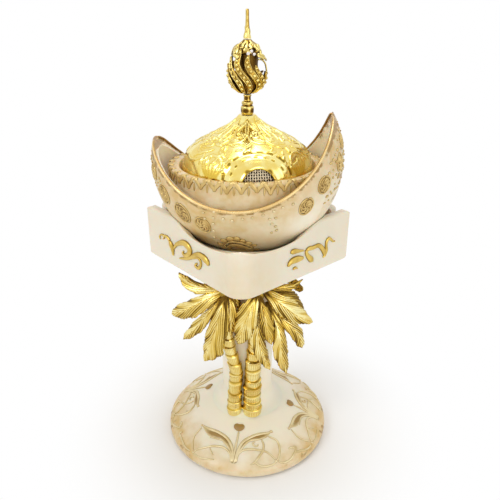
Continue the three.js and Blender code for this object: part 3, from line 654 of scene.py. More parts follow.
FINISHES = {
    # The palms: warm gold with brown in the grooves, and painted shade on leaf halves and at the leaf roots
    "palm_gilding": gilded_finish(
        "palm_gold", "palm_deep", "groove_and_shade_brown", depth=0.92, patch=85.0, grain=2200.0, smooth=0.2,
        rough=0.48,
        metallic=1.0, bump=0.25, bump_reach=0.00025,
    ),
    # The boards' scrolls: gold paint, browner in the hollows
    "scroll_gilding": gilded_finish(
        "scroll_gold", "scroll_deep", "groove_and_shade_brown", depth=0.55, patch=140.0, grain=2600.0, smooth=0.32,
        rough=0.55, metallic=0.85, bump=0.2,
    ),
    # The dome's polished yellow metal
    "dome_gilding": gilded_finish(
        "dome_gold", "dome_deep", "dome_groove", depth=0.75, patch=120.0, grain=1800.0, smooth=0.13,
        rough=0.34,
        metallic=1.0, bump=0.12,
    ),
    "finial_gilding": gilded_finish(
        "finial_gold", "finial_deep", "groove_and_shade_brown", depth=1.0, patch=220.0, grain=3200.0, smooth=0.22,
        rough=0.45, metallic=1.0, bump=0.15,
    ),
    # Pale gold paint rubbed over raised lines
    "rubbed_line_gold": gilded_finish(
        "line_gold", "line_deep", "rub", depth=1.0, patch=110.0, grain=1500.0, smooth=0.35, rough=0.6,
        metallic=0.35, bump=0.15,
    ),
    # Brown gold of the bowl's medallions, shell and leaves
    "ornament_gilding": gilded_finish(
        "ornament_gold", "ornament_deep", "groove_and_shade_brown", depth=0.7, patch=150.0, grain=1700.0, smooth=0.3,
        rough=0.55, metallic=0.5, bump=0.15,
    ),
    # Amber gold paint along the crescent's rim
    "rim_amber_gold": gilded_finish(
        "rim_gold", "rim_deep", "rub", depth=0.75, patch=60.0, grain=1500.0, smooth=0.25, rough=0.45,
        metallic=0.45, bump=0.1, sockets={"Coat Weight": 0.3},
    ),
    # Plain ivory resin of the capital, with painted shade low at the boards' front corner
    "plain_ivory_resin": resin_finish(
        "ivory", "ivory_shade", cloud=22.0, amount=0.8, smooth=0.3, rough=0.46, bump=0.06,
        sockets={"Subsurface Weight": 0.25, "Subsurface Scale": 0.006, "Coat Weight": 0.12},
    ),
    # Ivory resin with an amber wash, of the foot, column, bowl and collar, with painted shade on the
    # column's front behind the palms and painted light low on the bowl's front
    "amber_washed_resin": resin_finish(
        "pale", "amber", cloud=24.0, amount=1.0, smooth=0.28, rough=0.48, bump=0.12,
        sockets={"Subsurface Weight": 0.2, "Subsurface Scale": 0.005, "Coat Weight": 0.15},
    ),
    # Zinc-plated steel of the rod, nuts, screw and cup
    "plated_steel": plain_finish(
        (0.62, 0.63, 0.65), (0.5, 0.51, 0.53), patch=90.0, grain=1500.0, smooth=0.25, rough=0.45,
        metallic=1.0,
        bump=0.08,
    ),
    # Pale brass of the woven mesh
    "mesh_wire": plain_finish(
        (0.92, 0.84, 0.64), (0.72, 0.56, 0.34), patch=200.0, grain=2600.0, smooth=0.3, rough=0.5,
        metallic=0.9,
    ),
    # Pressed felt under the foot
    "foot_felt": plain_finish(
        (0.05, 0.05, 0.047), (0.11, 0.11, 0.1), patch=300.0, grain=3500.0, smooth=0.85, rough=1.0, bump=0.5,
        bump_reach=0.0004, sockets={"Sheen Weight": 0.4, "Sheen Roughness": 0.6},
    ),
    # Matt board under the charcoal cup
    "insulating_board": plain_finish(
        (0.8, 0.78, 0.73), (0.66, 0.63, 0.57), patch=120.0, grain=1800.0, smooth=0.8, rough=0.95, bump=0.3,
        bump_reach=0.0003,
    ),
}
BUMP_REACH = 0.0002


def group_value(value):
    """What a group's socket takes: a number, or a colour given by its numbers or its property's name."""
    if isinstance(value, str):
        value = tuple(getattr(colours(), value))
    return (*value, 1.0) if isinstance(value, tuple) else value


def finish_material(name):
    """A material of FINISHES: one group feeding a Principled shader, plain numbers on the shader itself."""
    material = bpy.data.materials.get(name)
    if material:
        return material
    if name == "clear_stone":
        return clear_stone()
    given = FINISHES[name]
    material = bpy.data.materials.new(name)
    material.use_nodes = True
    tree = material.node_tree
    shader = tree.nodes["Principled BSDF"]
    shader.inputs["Metallic"].default_value = given.get("metallic", 0.0)
    for label, number in given.get("sockets", {}).items():
        shader.inputs[label].default_value = number
    node = tree.nodes.new("ShaderNodeGroup")
    node.node_tree = bpy.data.node_groups[given["group"]]
    for label, value in given["values"].items():
        node.inputs[label].default_value = group_value(value)
    link(tree, node.outputs["Color"], shader.inputs["Base Color"])
    link(tree, node.outputs["Roughness"], shader.inputs["Roughness"])
    if "bump" in given:
        bumped = tree.nodes.new("ShaderNodeBump")
        bumped.inputs["Strength"].default_value = given["bump"]
        bumped.inputs["Distance"].default_value = given.get("bump_reach", BUMP_REACH)
        link(tree, node.outputs["Height"], bumped.inputs["Height"])
        link(tree, bumped.outputs["Normal"], shader.inputs["Normal"])
    return material


def clear_stone():
    """Small clear stones at the top of the bud."""
    material = bpy.data.materials.new("clear_stone")
    material.use_nodes = True
    shader = material.node_tree.nodes["Principled BSDF"]
    shader.inputs["Roughness"].default_value = 0.04
    shader.inputs["Coat Weight"].default_value = 0.6
    shader.inputs["IOR"].default_value = 1.7
    cloud = noise_of(material.node_tree, 900.0, 2.0)
    tint = blend_colour(material.node_tree, cloud, (0.98, 0.96, 0.95), (0.78, 0.7, 0.66))
    link(material.node_tree, tint, shader.inputs["Base Color"])
    return material


def patchy(points, scale, seed=0):
    """Smooth noise from -1 to 1 at points in millimetres, its patches scale millimetres wide."""
    cell = np.asarray(points, float) / scale + 1000.0
    base = np.floor(cell).astype(np.int64)
    share = cell - base
    share = share * share * (3 - 2 * share)
    total = np.zeros(len(cell))
    for corner in range(8):
        step = np.array([corner & 1, (corner >> 1) & 1, (corner >> 2) & 1])
        spot = base + step
        x, y, z = spot.T
        # Whole numbers that mix a cell's place and the seed into one value from -1 to 1
        mixed = (x * 73856093) ^ (y * 19349663) ^ (z * 83492791) ^ (seed * 2654435)
        value = ((mixed * 1103515245 + 12345) >> 8 & 0xFFFF) / 32767.5 - 1
        weight = np.prod(np.where(step == 1, share, 1 - share), axis=1)
        total += weight * value
    return total


# The round foot


# Each line of the foot's ornament: degrees from the motif's middle and millimetres from the axis
FOOT_LINES = {
    "stalk": ([(0.3, 35.5), (0.2, 41.8), (0, 47.2), (-0.2, 55.5)], 0.55),
    "left_top": ([(-0.5, 56.5), (-2.6, 47.5), (-10, 41.8), (-22.2, 40), (-35.2, 41.3), (-41.5, 42)], 0.85),
    "left_low": ([(-1.2, 56), (-3.3, 49.6), (-11.9, 44.2), (-20.8, 44.3), (-26.9, 45.5)], 0.5),
    "left_outer": ([(-39.9, 43.4), (-39.6, 50), (-35.5, 54.6), (-31.4, 57.4)], 0.45),
    "left_arch": ([(-2, 56), (-3.4, 51), (-9.9, 48), (-18.2, 49), (-23.5, 51.5), (-28.9, 54.9), (-31.3, 58)],
                  0.6),
    "left_swirl": ([(-50.7, 54.3), (-52, 56.3), (-46.6, 57.2), (-39.4, 58.6), (-33.8, 58.4)], 0.6),
    "left_inner": ([(-22.1, 50.6), (-18.4, 53), (-15.8, 54.3)], 0.4),
    "left_swag": ([(-30, 58.3), (-24.1, 58.4), (-19.2, 57.5), (-13.8, 56.4)], 0.5),
    "right_top": ([(0.8, 56.5), (2.2, 49), (5.9, 42.8), (14.2, 39.4), (23.6, 38), (36.6, 38.6)], 0.85),
    "right_low": ([(1.4, 56), (3.2, 49.6), (10.9, 42.2), (22.6, 41.2), (31.6, 40.5)], 0.55),
    "right_outer": ([(31.6, 40.5), (37.8, 44.8), (37.1, 50.4), (33.6, 55), (30.7, 56.7)], 0.55),
    "right_hook": ([(20.4, 44.6), (18.4, 45.6), (16.1, 44.9), (15.4, 43.2), (17.9, 42.7)], 0.5),
    "right_inner": ([(24, 41.5), (24.9, 45), (23, 48.9), (18.8, 52.3), (15.3, 55.3), (12.2, 56.4)], 0.6),
    "right_arch": ([(2, 56), (3.3, 50.2), (8.2, 47.4), (17.1, 47.6), (25.4, 49.8), (29.8, 54), (30.9, 56.2)],
                   0.6),
    "bottom_loop": ([(15.3, 55), (18.8, 57), (23.2, 57.9), (28.5, 57.6), (31.2, 56.5)], 0.6),
    "right_swirl": ([(32.1, 56.5), (35.3, 58.3), (41.2, 58.3), (46.3, 56.5), (50.2, 54.2), (48, 52.4)],
                    0.55),
    "swirl_leaf": ([(43.6, 52.5), (47.6, 52.9), (49.4, 56.4)], 0.5),
}
FOOT_KNOBS = [(36.8, 38.3, 1.1), (-31.3, 58, 0.9), (15.3, 55.2, 1.0), (31.0, 56.5, 1.1), (-41.5, 42.2, 0.9)]
# Each motif round the foot: its middle in degrees and how wide it is for the front one
FOOT_MOTIFS = [(-6.5, 1.0), (82.0, 0.78), (161.0, 0.88), (251.0, 0.92)]


FOOT_EDGE = 2.4
FOOT_WELL_RADIUS = 11.0
FOOT_WELL_DEPTH = 8.0


def foot_body():
    """The foot: a low disc with a rounded edge, hollow under the rod."""
    bm = new_mesh()
    rounded = [
        (FOOT_RADIUS - FOOT_EDGE * (1 - math.sin(a)), FOOT_BOTTOM + FOOT_EDGE * (1 - math.cos(a)))
        for a in np.linspace(0, math.pi / 2, 6)
    ]
    slope = smooth_line(FOOT_SLOPE, 64)
    well_top = FOOT_BOTTOM + FOOT_WELL_DEPTH
    profile = [(ROD_BORE, well_top), (FOOT_WELL_RADIUS, well_top), (FOOT_WELL_RADIUS, FOOT_BOTTOM), *rounded,
               *[tuple(p) for p in slope], (ROD_BORE, FOOT_TOP)]
    add_spun(bm, profile, 256)
    obj = finish(bm, "foot_disc", 35)
    points = vertices_of(obj)
    azimuth, radius = turn_and_reach(points)
    cloud = patchy(points, 9.0, 3) * 0.5 + patchy(points, 3.2, 4) * 0.35
    fine = patchy(points, 1.7, 8)
    turn = np.degrees(azimuth)
    # The wash is strongest at the left, the right and the back
    left = peak(turn_from(turn, -75), 0, 42)
    right = peak(turn_from(turn, 88), 0, 50)
    back = peak(turn_from(turn, 180), 0, 60)
    ring = ease(36, 57, radius + 5 * cloud)
    wash = ring * (0.3 + 0.55 * np.maximum.reduce([left, right, 0.8 * back]) + 0.35 * cloud)
    wash += 0.25 * ease(50, 58, radius)
    rim = ease(57, 59.8, radius) * ease(3, 7, points[:, 2]) * (0.3 + 0.35 * cloud)
    rub = rim + ring * np.maximum(left, right) * np.clip(0.55 * fine + 0.6 * cloud + 0.12, 0, 1)
    write_masks(obj, wash=wash + rim * 0.4, rub=rub, groove=0.0)
    return obj


def foot_scrolls():
    """The raised scrolls on the foot, in four motifs."""
    bm = new_mesh()
    lift = sizes().foot_relief / MM
    for middle, stretch in FOOT_MOTIFS:
        for line, half in FOOT_LINES.values():
            path = smooth_line(line, max(10, 5 * len(line)))
            points, normals = on_foot(middle + path[:, 0] * stretch, path[:, 1])
            widths = half * 1.25 * tapered(len(path), 0.75, 1.15, 0.6)
            add_ridge(bm, points, normals, widths, np.full(len(path), lift), sides=8)
        for degrees, radius, size in FOOT_KNOBS:
            spot, normal = on_foot(np.array([middle + degrees * stretch]), np.array([radius]))
            add_knob(bm, spot[0], normal[0], size, lift * 1.5)
    return finish(bm, "foot_scrolls", 60)


def add_knob(bm, spot, normal, size, lift, wide=1.0, turn=0.0):
    """Adds a small raised knob on a surface."""
    normal = Vector(normal)
    made = bmesh.ops.create_uvsphere(bm, u_segments=10, v_segments=6, radius=1.0)["verts"]
    place = Matrix.Translation(Vector(spot)) @ normal.to_track_quat("Z", "Y").to_matrix().to_4x4()
    place = place @ Matrix.Rotation(turn, 4, "Z") @ Matrix.Diagonal((size * wide, size, lift, 1))
    rub = bm.verts.layers.float["rub"]
    groove = bm.verts.layers.float["groove"]
    for vert in made:
        vert[rub] = max(0.0, vert.co.z)
        vert[groove] = max(0.0, 1 - 2.5 * max(0.0, vert.co.z))
    bmesh.ops.transform(bm, matrix=place, verts=made)


def add_band(bm, first, second, chart, lift, along=26, across=14, ribs=0.0):
    """Adds a low crowned band between two lines of a chart."""
    a = smooth_line(first, along + 1)
    b = smooth_line(second, along + 1)

    def shape(over, run):
        row = np.clip(np.rint(run * along).astype(int), 0, along)
        top = over < 0.5
        share = np.where(top, over * 2, 2 - over * 2)
        share = np.clip(share, 0, 1)
        spot = a[row] * (1 - share[:, None]) + b[row] * share[:, None]
        points, normals = chart(spot[:, 0], spot[:, 1])
        ends = np.sin(np.clip(run, 0, 1) * math.pi) ** 0.4
        wave = 0.5 + 0.5 * np.cos(run * ribs * FULL_TURN + share * 2.0)
        crown = np.sin(share * math.pi) ** 0.7 * ends
        height = np.where(top, lift * crown * (1 - 0.25 * wave * (ribs > 0)), -0.3)
        return points + normals * height[:, None], {
            "rub": np.where(top, crown, 0), "wash": np.where(top, 0.9, 0.5),
            "groove": np.where(top, 1 - ease(0.0, 0.8, crown), 1.0),
        }

    add_form(bm, across, along, shape)


def foot_leaves():
    """The broad washed leaves of the foot's ornament, and the buds."""
    bm = new_mesh()
    lift = sizes().foot_relief / MM * 0.75
    for middle, stretch in FOOT_MOTIFS:
        def chart(degrees, radius, middle=middle, stretch=stretch):
            return on_foot(middle + np.asarray(degrees) * stretch, radius)

        for top, bottom in (("left_top", "left_low"), ("right_top", "right_low")):
            upper = FOOT_LINES[top][0][1:]
            lower = FOOT_LINES[bottom][0][1:]
            add_band(bm, upper, lower, chart, lift)
        add_heart(bm, chart)
    return finish(bm, "foot_leaves", 60)


# The heart-shaped bud: its distance from the axis and how far it stands out
BUD_PLACE = 32.6
BUD_LIFT = 1.3


def add_heart(bm, chart):
    """Adds the heart-shaped bud over the middle of a motif."""
    def shape(over, run):
        angle = over * FULL_TURN
        notch = 1 - 0.28 * np.exp(-((np.cos(angle) + 1) / 0.12))
        reach_side = np.sin(angle) * 4.1 * notch
        reach_out = np.cos(angle) * (2.9 + 0.5 * np.cos(angle)) * notch
        share = np.where(run < 0.7, run / 0.7, 1.0)
        under = np.where(run < 0.7, 0.0, (run - 0.7) / 0.3)
        x = reach_side * share * (1 - under)
        y = BUD_PLACE + reach_out * share * (1 - under)
        points, normals = chart(np.degrees(x / BUD_PLACE), y)
        height = np.where(run < 0.7, BUD_LIFT * np.sqrt(np.clip(1 - share**2, 0, 1)), -0.3 * (under > 0))
        top = np.clip(height / BUD_LIFT, 0, 1)
        masks = {"rub": 0.6 + 0.4 * top, "wash": np.ones_like(top), "groove": 1 - top}
        return points + normals * height[:, None], masks

    add_form(bm, 24, 12, shape)


def felt_disc():
    """The felt pad under the foot, its edge a little soft."""
    bm = new_mesh()
    radius, top, bottom = high("felt_pad", "x"), high("felt_pad"), low("felt_pad")
    soft = 0.4
    profile = [(0, bottom), (radius - soft, bottom), (radius, bottom + soft), (radius, top - 0.3),
               (radius - soft, top), (0, top)]
    add_spun(bm, profile, 96, closed=False)
    return finish(bm, "felt_disc")


# The column and the palms


# The column's radii at its foot, waist and head
COLUMN_RADII = (26.6, 18.4, 27.0)
# Its foot: share of the way out from the waist, and millimetres over its bottom
COLUMN_FLARE = [
    (1, -0.5), (0.8, 0.6), (0.56, 1.9), (0.36, 3.6), (0.2, 6.0), (0.09, 9.6), (0.02, 14.5), (0, 20),
]
COLUMN_SUNK = 0.5
# Its head: how tall it is, then shares of the way up and out
COLUMN_HEAD = 34
COLUMN_CROWN_SHARES = [(0, 0), (0.45, 0.08), (0.72, 0.3), (0.9, 0.66), (1, 1)]


def column_body():
    """The waisted column, bored for the rod, its foot running smoothly into the disc."""
    bm = new_mesh()
    foot, waist, head = COLUMN_RADII
    outline = [(waist + (foot - waist) * out, COLUMN_BOTTOM + up) for out, up in COLUMN_FLARE]
    outline += [
        (waist + (head - waist) * out, COLUMN_TOP - COLUMN_HEAD * (1 - up))
        for up, out in COLUMN_CROWN_SHARES
    ]
    line = smooth_line(outline, 84)
    profile = [(ROD_BORE, COLUMN_BOTTOM - COLUMN_SUNK), *[tuple(p) for p in line], (ROD_BORE, COLUMN_TOP)]
    add_spun(bm, profile, 128)
    obj = finish(bm, "column_shaft", 50)
    points = vertices_of(obj)
    # Painted shade: the column's front above 60 mm, behind the palm trunks, gets some of the wash colour
    back = ease(60, 100, points[:, 2]) * ease(10, 18, -points[:, 1])
    write_masks(obj, wash=back * 0.3, rub=0.0)
    return obj


# Heights of the dark joints between a trunk's rings, from the foot up
LEFT_RINGS = [25.4, 31.5, 37.4, 45.0, 55.2, 62.0, 70.6, 77.8, 84.5, 91, 98, 105, 112, 119, 127]
RIGHT_RINGS = [25.4, 32.5, 38.2, 44.6, 51.2, 57.6, 66.4, 74.0, 81.0, 88, 95, 102, 109, 117, 127]


TRUNK_Y = -21
# A trunk's middle line: shares of its height, of the way to its crown and of its lean
TRUNK_SHARES = [
    (0, 0, 0), (0.12, 0.0, 0.1), (0.25, 0.02, 0.6), (0.36, 0.05, 1.0), (0.46, 0.28, 0.7), (0.58, 0.64, 0.1),
    (0.75, 0.9, 0), (1, 1, 0),
]
TRUNK_FLUTES = 22


def trunk_line(foot_offset, crown_offset, height_low, height_high):
    """The middle line of a trunk: the pair stand close up to two thirds of the way, then part."""
    lean = 1.7 if foot_offset < 0 else 0.2
    rows = [
        (foot_offset + (crown_offset - foot_offset) * across + lean * bend, TRUNK_Y + 0.5 * up,
         height_low + (height_high - height_low) * up)
        for up, across, bend in TRUNK_SHARES
    ]
    return smooth_line(rows, 400)


def add_trunk(bm, radius, foot_offset, crown_offset, joints, seed):
    """Adds a ringed and finely fluted trunk."""
    line = trunk_line(foot_offset, crown_offset, joints[0], joints[-1])
    around, per_ring = 72, 9
    rows = (len(joints) - 1) * per_ring

    def shape(over, run):
        place = run * (len(joints) - 1)
        ring = np.clip(np.floor(place + 1e-9).astype(int), 0, len(joints) - 2)
        within = np.clip(place - ring, 0, 1)
        edges = np.array(joints)
        height = edges[ring] + (edges[ring + 1] - edges[ring]) * within
        x = np.interp(height, line[:, 2], line[:, 0])
        y = np.interp(height, line[:, 2], line[:, 1])
        angle = over * FULL_TURN
        tilt = 0.5 * np.sin(angle + ring * 2.1 + seed)
        swell = 0.9 + 0.1 * np.sin(np.clip(within / 0.75, 0, 1) * math.pi / 2)
        lip = 0.09 * ease(0.6, 0.88, within) - 0.12 * ease(0.93, 1.0, within)
        wobble = 0.035 * np.sin(angle * 2 + ring * 1.7 + seed) + 0.03 * np.sin(ring * 4.1 + seed)
        fluted = ease(0.02, 0.2, within)
        flute = 0.026 * np.cos(angle * TRUNK_FLUTES + ring * 0.8) * fluted * (1 - ease(0.7, 0.85, within))
        size = radius * (1 - 0.34 * run) * (swell + lip + wobble + flute)
        closing = np.where((run <= 0) | (run >= 1), 0.0, 1.0)
        size = size * closing
        level = height + tilt * closing * 0.7
        points = np.stack([x + size * np.cos(angle), y + size * np.sin(angle), level], axis=1)
        joint = 0.75 * (1 - ease(0.0, 0.1, within)) + 0.5 * ease(0.97, 1.0, within)
        groove = np.clip(joint + 0.4 * (0.5 - flute / 0.044) * ease(0.0, 0.1, within), 0, 1)
        return points, {"groove": groove, "rub": ease(0.72, 0.86, within)}

    add_form(bm, around, rows, shape)


# Each trunk: radius at the foot, sideways places of foot and crown, ring joints, and a seed
TRUNKS = {
    "left": (5.3, -8.0, -13.4, LEFT_RINGS, 0.4),
    "right": (6.6, 4.8, 7.9, RIGHT_RINGS, 2.2),
}


def trunk(side, back):
    """One trunk, in front or, turned half round, behind."""
    bm = new_mesh()
    radius, foot_offset, crown_offset, joints, seed = TRUNKS[side]
    add_trunk(bm, radius, foot_offset, crown_offset, joints, seed)
    if back:
        turn_to_back(bm)
    return finish(bm, f"{'back' if back else 'front'}_{side}_palm_trunk", 60)


# Each leaf: points along its midrib, half widths to its left and right of the midrib, how far it folds
LEFT_LEAVES = [
    ([(-12.7, -23.5, 129.0), (-25.5, -23.5, 130.6), (-35.7, -21.5, 133.2), (-43.6, -19.5, 138.6)],
     [(0, 1.5), (0.25, 4.0), (0.55, 7.5), (0.8, 5.5), (0.94, 2.6), (1, 0)],
     [(0, 1), (0.4, 1.8), (0.8, 2.0), (1, 0)], 0.2),
    ([(-12.5, -24.5, 128.7), (-23.9, -26.5, 123.6), (-35.9, -25.5, 115.8), (-49.8, -19.5, 107.0)],
     [(0, 1.5), (0.3, 5.5), (0.6, 7.4), (0.86, 5.6), (0.96, 3.6), (1, 0)],
     [(0, 1.5), (0.3, 4.0), (0.6, 5.8), (0.86, 5.2), (0.96, 3.2), (1, 0)], 0.25),
    ([(-12.2, -24.5, 128.0), (-22.0, -27.5, 115.3), (-31.4, -26.5, 102.3), (-42.4, -22.5, 88.8)],
     [(0, 1), (0.4, 3.6), (0.7, 4.2), (0.92, 2.6), (1, 0)],
     [(0, 1), (0.4, 3.6), (0.7, 4.8), (0.92, 2.8), (1, 0)], 0.28),
    ([(-11.8, -26.0, 128.5), (-15.6, -31.0, 115.0), (-19.9, -32.0, 99.8), (-27.6, -29.0, 76.4)],
     [(0, 1.5), (0.25, 5.6), (0.55, 8.8), (0.8, 10.5), (0.92, 6.0), (1, 0)],
     [(0, 1.5), (0.25, 6.0), (0.55, 6.6), (0.8, 5.0), (0.94, 2.0), (1, 0)], 0.22),
    ([(-11.1, -26.5, 128.0), (-8.2, -30.0, 121.8), (-8.3, -31.0, 111.6), (-8.9, -30.5, 97.6)],
     [(0, 1), (0.4, 3.6), (0.75, 3.2), (1, 0)], [(0, 1), (0.4, 3.2), (0.75, 2.8), (1, 0)], 0.3),
    ([(-10.8, -24.5, 128.5), (-7.0, -26.5, 125.0), (-4.6, -27.0, 121.0), (-3.4, -27.5, 114.6)],
     [(0, 1), (0.5, 2.8), (1, 0)], [(0, 1), (0.5, 2.4), (1, 0)], 0.3),
]
RIGHT_LEAVES = [
    ([(7.9, -25.5, 130.0), (5.2, -30.5, 122.5), (0.2, -33.0, 109.8), (-3.9, -32.5, 93.6)],
     [(0, 1.5), (0.25, 5.2), (0.55, 8.2), (0.82, 7.2), (0.94, 4.4), (1, 0)],
     [(0, 1.5), (0.3, 6.4), (0.55, 8.0), (0.8, 6.2), (0.94, 3.2), (1, 0)], 0.26),
    ([(9.5, -26.5, 128.0), (12.4, -31.5, 118.5), (14.2, -33.0, 108.1), (18.0, -31.5, 93.5)],
     [(0, 1), (0.35, 4.2), (0.7, 5.4), (0.92, 2.8), (1, 0)],
     [(0, 1), (0.35, 2.8), (0.7, 4.2), (0.92, 2.4), (1, 0)], 0.3),
    ([(11.0, -26.5, 120.0), (9.2, -30.5, 103.0), (11.4, -31.5, 88.0), (17.4, -29.5, 71.4)],
     [(0, 1), (0.35, 4.4), (0.7, 4.6), (0.92, 2.6), (1, 0)],
     [(0, 1), (0.35, 6.4), (0.7, 5.6), (0.92, 2.8), (1, 0)], 0.26),
    ([(14.0, -24.5, 122.0), (23.0, -29.5, 102.0), (25.0, -30.5, 86.5), (28.4, -27.5, 67.4)],
     [(0, 1), (0.4, 4.4), (0.72, 5.6), (0.92, 3.2), (1, 0)],
     [(0, 1), (0.4, 5.8), (0.72, 5.8), (0.92, 3.0), (1, 0)], 0.26),
    ([(12.5, -25.5, 130.2), (22.6, -28.5, 123.0), (33.0, -25.5, 113.1), (45.0, -19.5, 104.4)],
     [(0, 2), (0.25, 6.4), (0.55, 8.4), (0.82, 5.6), (0.94, 2.6), (1, 0)],
     [(0, 2), (0.25, 5.6), (0.55, 6.2), (0.82, 4.0), (0.94, 2.4), (1, 0)], 0.16),
    ([(14.5, -22.0, 118.0), (28.0, -25.5, 106.5), (35.4, -24.0, 97.0), (38.6, -21.5, 84.8)],
     [(0, 1), (0.4, 4.0), (0.72, 5.2), (0.92, 3.4), (1, 0)],
     [(0, 1), (0.4, 4.0), (0.72, 5.0), (0.92, 3.2), (1, 0)], 0.26),
    ([(12.5, -21.0, 128.6), (22.1, -18.5, 128.8), (30.8, -14.5, 129.2), (37.6, -9.5, 131.4)],
     [(0, 1), (0.5, 2.0), (1, 0)], [(0, 1), (0.5, 3.4), (0.8, 2.4), (1, 0)], 0.3),
    ([(13.5, -21.0, 127.0), (27.8, -15.0, 120.2), (34.7, -10.5, 111.0), (38.6, -7.5, 99.6)],
     [(0, 1.5), (0.4, 6.4), (0.72, 5.0), (0.92, 2.8), (1, 0)],
     [(0, 1.5), (0.4, 5.2), (0.72, 4.4), (0.92, 2.6), (1, 0)], 0.3),
]


# Painted shade on each leaf's two halves: how much darker each half is, in the order of the leaves
LEAF_HALF_SHADES = {
    "left": [(0, 0.3), (0.28, 0), (0.32, 0.05), (0.32, 0.08), (0.45, 0.3), (0.55, 0.5)],
    "right": [(0, 0.28), (0.45, 0.4), (0.35, 0), (0.35, 0.1), (0, 0.18), (0.15, 0.42), (0.5, 0.5),
              (0.75, 0.75)],
}


# The ribs of a leaf: how far they lean from its midrib, and millimetres from one to the next
RIB_SLANT = math.radians(16)
RIB_SPACING = 1.25
CROWN_KNOT = 5.0


def add_leaf(bm, midrib, left, right, fold, seed, tones):
    """Adds one palm leaf: folded along its midrib, feathered aslant, its edges torn where the ribs end."""
    along, top_steps, under_steps = 170, 46, 10
    across = top_steps + under_steps
    middle = smooth_line(midrib, along + 1)
    tangents = np.gradient(middle, axis=0)
    tangents = unit(tangents)
    travelled = np.concatenate([[0], np.cumsum(np.linalg.norm(np.diff(middle, axis=0), axis=1))])
    outward = np.array([middle[:, 0] * 0.35, -26.0 + 0 * middle[:, 0], 9.0 + 0 * middle[:, 0]]).T
    outward -= tangents * np.sum(outward * tangents, axis=1)[:, None]
    outward = unit(outward)
    sideways = np.cross(tangents, outward)
    left, right = np.array(left), np.array(right)

    def shape(over, run):
        row = np.clip(np.rint(run * along).astype(int), 0, along)
        column = np.rint(over * across)
        top = column <= top_steps
        t = np.where(top, column / top_steps * 2 - 1, 1 - (column - top_steps) / under_steps * 2)
        t = np.clip(t, -1, 1)
        wide_left = np.interp(run, left[:, 0], left[:, 1])
        wide_right = np.interp(run, right[:, 0], right[:, 1])
        wide = np.where(t < 0, wide_left, wide_right)
        reach = np.abs(t)
        far = travelled[row]
        wander = 0.5 * np.sin(far * 0.16 + seed * 5) + 0.2 * np.sin(far * 0.41 + t * 1.5 + seed * 3)
        aslant = far * math.sin(RIB_SLANT) - reach * wide * math.cos(RIB_SLANT) + wander
        phase = aslant / RIB_SPACING + seed
        number = np.floor(phase + 0.5)
        chance = np.sin(number * 12.9898 + seed * 78.2 + np.where(t < 0, 2.0, 0.0))
        strong = 0.25 + 0.75 * (0.5 + 0.5 * chance)
        line = (0.5 - 0.5 * np.cos((phase + 0.5) * FULL_TURN)) ** 3
        line = 1 - (1 - line) ** 1.5
        bundle = np.sin(phase * FULL_TURN / 4.3 + seed * 2)
        body = np.clip(wide / 3, 0, 1)
        notch = (0.5 - 0.5 * np.cos((phase + 0.5) * FULL_TURN)) ** 4 * strong
        torn = 1 - (0.16 * notch + 0.1 * np.clip(-bundle, 0, 1)) * ease(0.6, 1.0, reach) * body
        side = t * wide * torn
        pillow = 0.16 * wide * (1 - reach**2)
        midrib_dip = 0.3 * np.exp(-((reach / 0.06) ** 2))
        fall = -fold * np.abs(side) * (0.3 + 0.7 * reach) + pillow - midrib_dip * body
        curl = 1.0 * np.sin(far * 0.11 + seed * 2 + t * 1.4) * body * reach**1.5
        ribbed = -0.5 * body * strong * line + 0.42 * body * bundle * ease(0.05, 0.3, reach)
        thick = 0.75 * (1 - 0.75 * ease(0.75, 1.0, reach))
        rise = np.where(top, thick + ribbed, -thick * 0.8 - 0.3 * strong * line)
        rise = rise * np.where(reach > 0.985, 0.25, 1.0)
        closing = np.where((row == 0) | (row == along), 0.0, 1.0)
        points = middle[row] + sideways[row] * (side * closing)[:, None]
        points = points + outward[row] * ((rise + fall + curl) * closing)[:, None]
        spine = 0.55 * np.exp(-((reach / 0.05) ** 2)) * (1 - ease(0.5, 0.9, run))
        # Painted shade at the crown: the leaves darker towards their roots, where they meet
        root = 0.95 * (1 - ease(0.03, 0.24, run + 0.05 * bundle))
        edge = 0.5 * ease(0.94, 1.0, reach) + 0.25 * np.clip(-bundle, 0, 1) * ease(0.5, 1.0, reach)
        # Painted shade: each leaf's right half darker, and each half darker by its listed amount, as if
        # turned from the light
        painted_side_shade = 0.3 * ease(0.2, 0.9, t) * (0.5 - 0.5 * bundle)
        tone = np.where(t < 0, tones[0], tones[1]) * ease(0.0, 0.12, reach)
        tone = tone * (0.75 + 0.25 * bundle)
        band = 0.36 * ease(0.1, 0.85, -bundle) * ease(0.1, 0.4, reach)
        groove = np.maximum.reduce([0.62 * strong * line, spine, root]) + edge + painted_side_shade + tone + band
        return points, {"groove": np.where(top, np.clip(groove, 0, 1), 0.5 + 0.4 * line), "rub": 1 - line}

    add_form(bm, across, along, shape)


def crown_of_leaves(side, back):
    """One palm's crown of leaves, in front or, turned half round, behind."""
    bm = new_mesh()
    leaves = LEFT_LEAVES if side == "left" else RIGHT_LEAVES
    tones = LEAF_HALF_SHADES[side]
    for number, (midrib, left, right, fold) in enumerate(leaves):
        add_leaf(bm, midrib, left, right, fold, 0.37 * number + (0 if side == "left" else 3), tones[number])
    root = Vector((-13.0 if side == "left" else 9.0, -22.5, 127.0))
    # The knot among the leaf roots is painted dark, as shade
    made = bmesh.ops.create_uvsphere(bm, u_segments=24, v_segments=14, radius=CROWN_KNOT)["verts"]
    groove = bm.verts.layers.float["groove"]
    for vert in made:
        vert[groove] = 0.7
    bmesh.ops.transform(bm, matrix=Matrix.Translation(root), verts=made)
    if back:
        # Behind, the crowns are drawn in a little, so that none shows beside the front ones
        bmesh.ops.scale(bm, vec=(0.8, 1, 1), verts=bm.verts)
        turn_to_back(bm)
    return finish(bm, f"{'back' if back else 'front'}_{side}_palm_leaves", 75)


# The capital


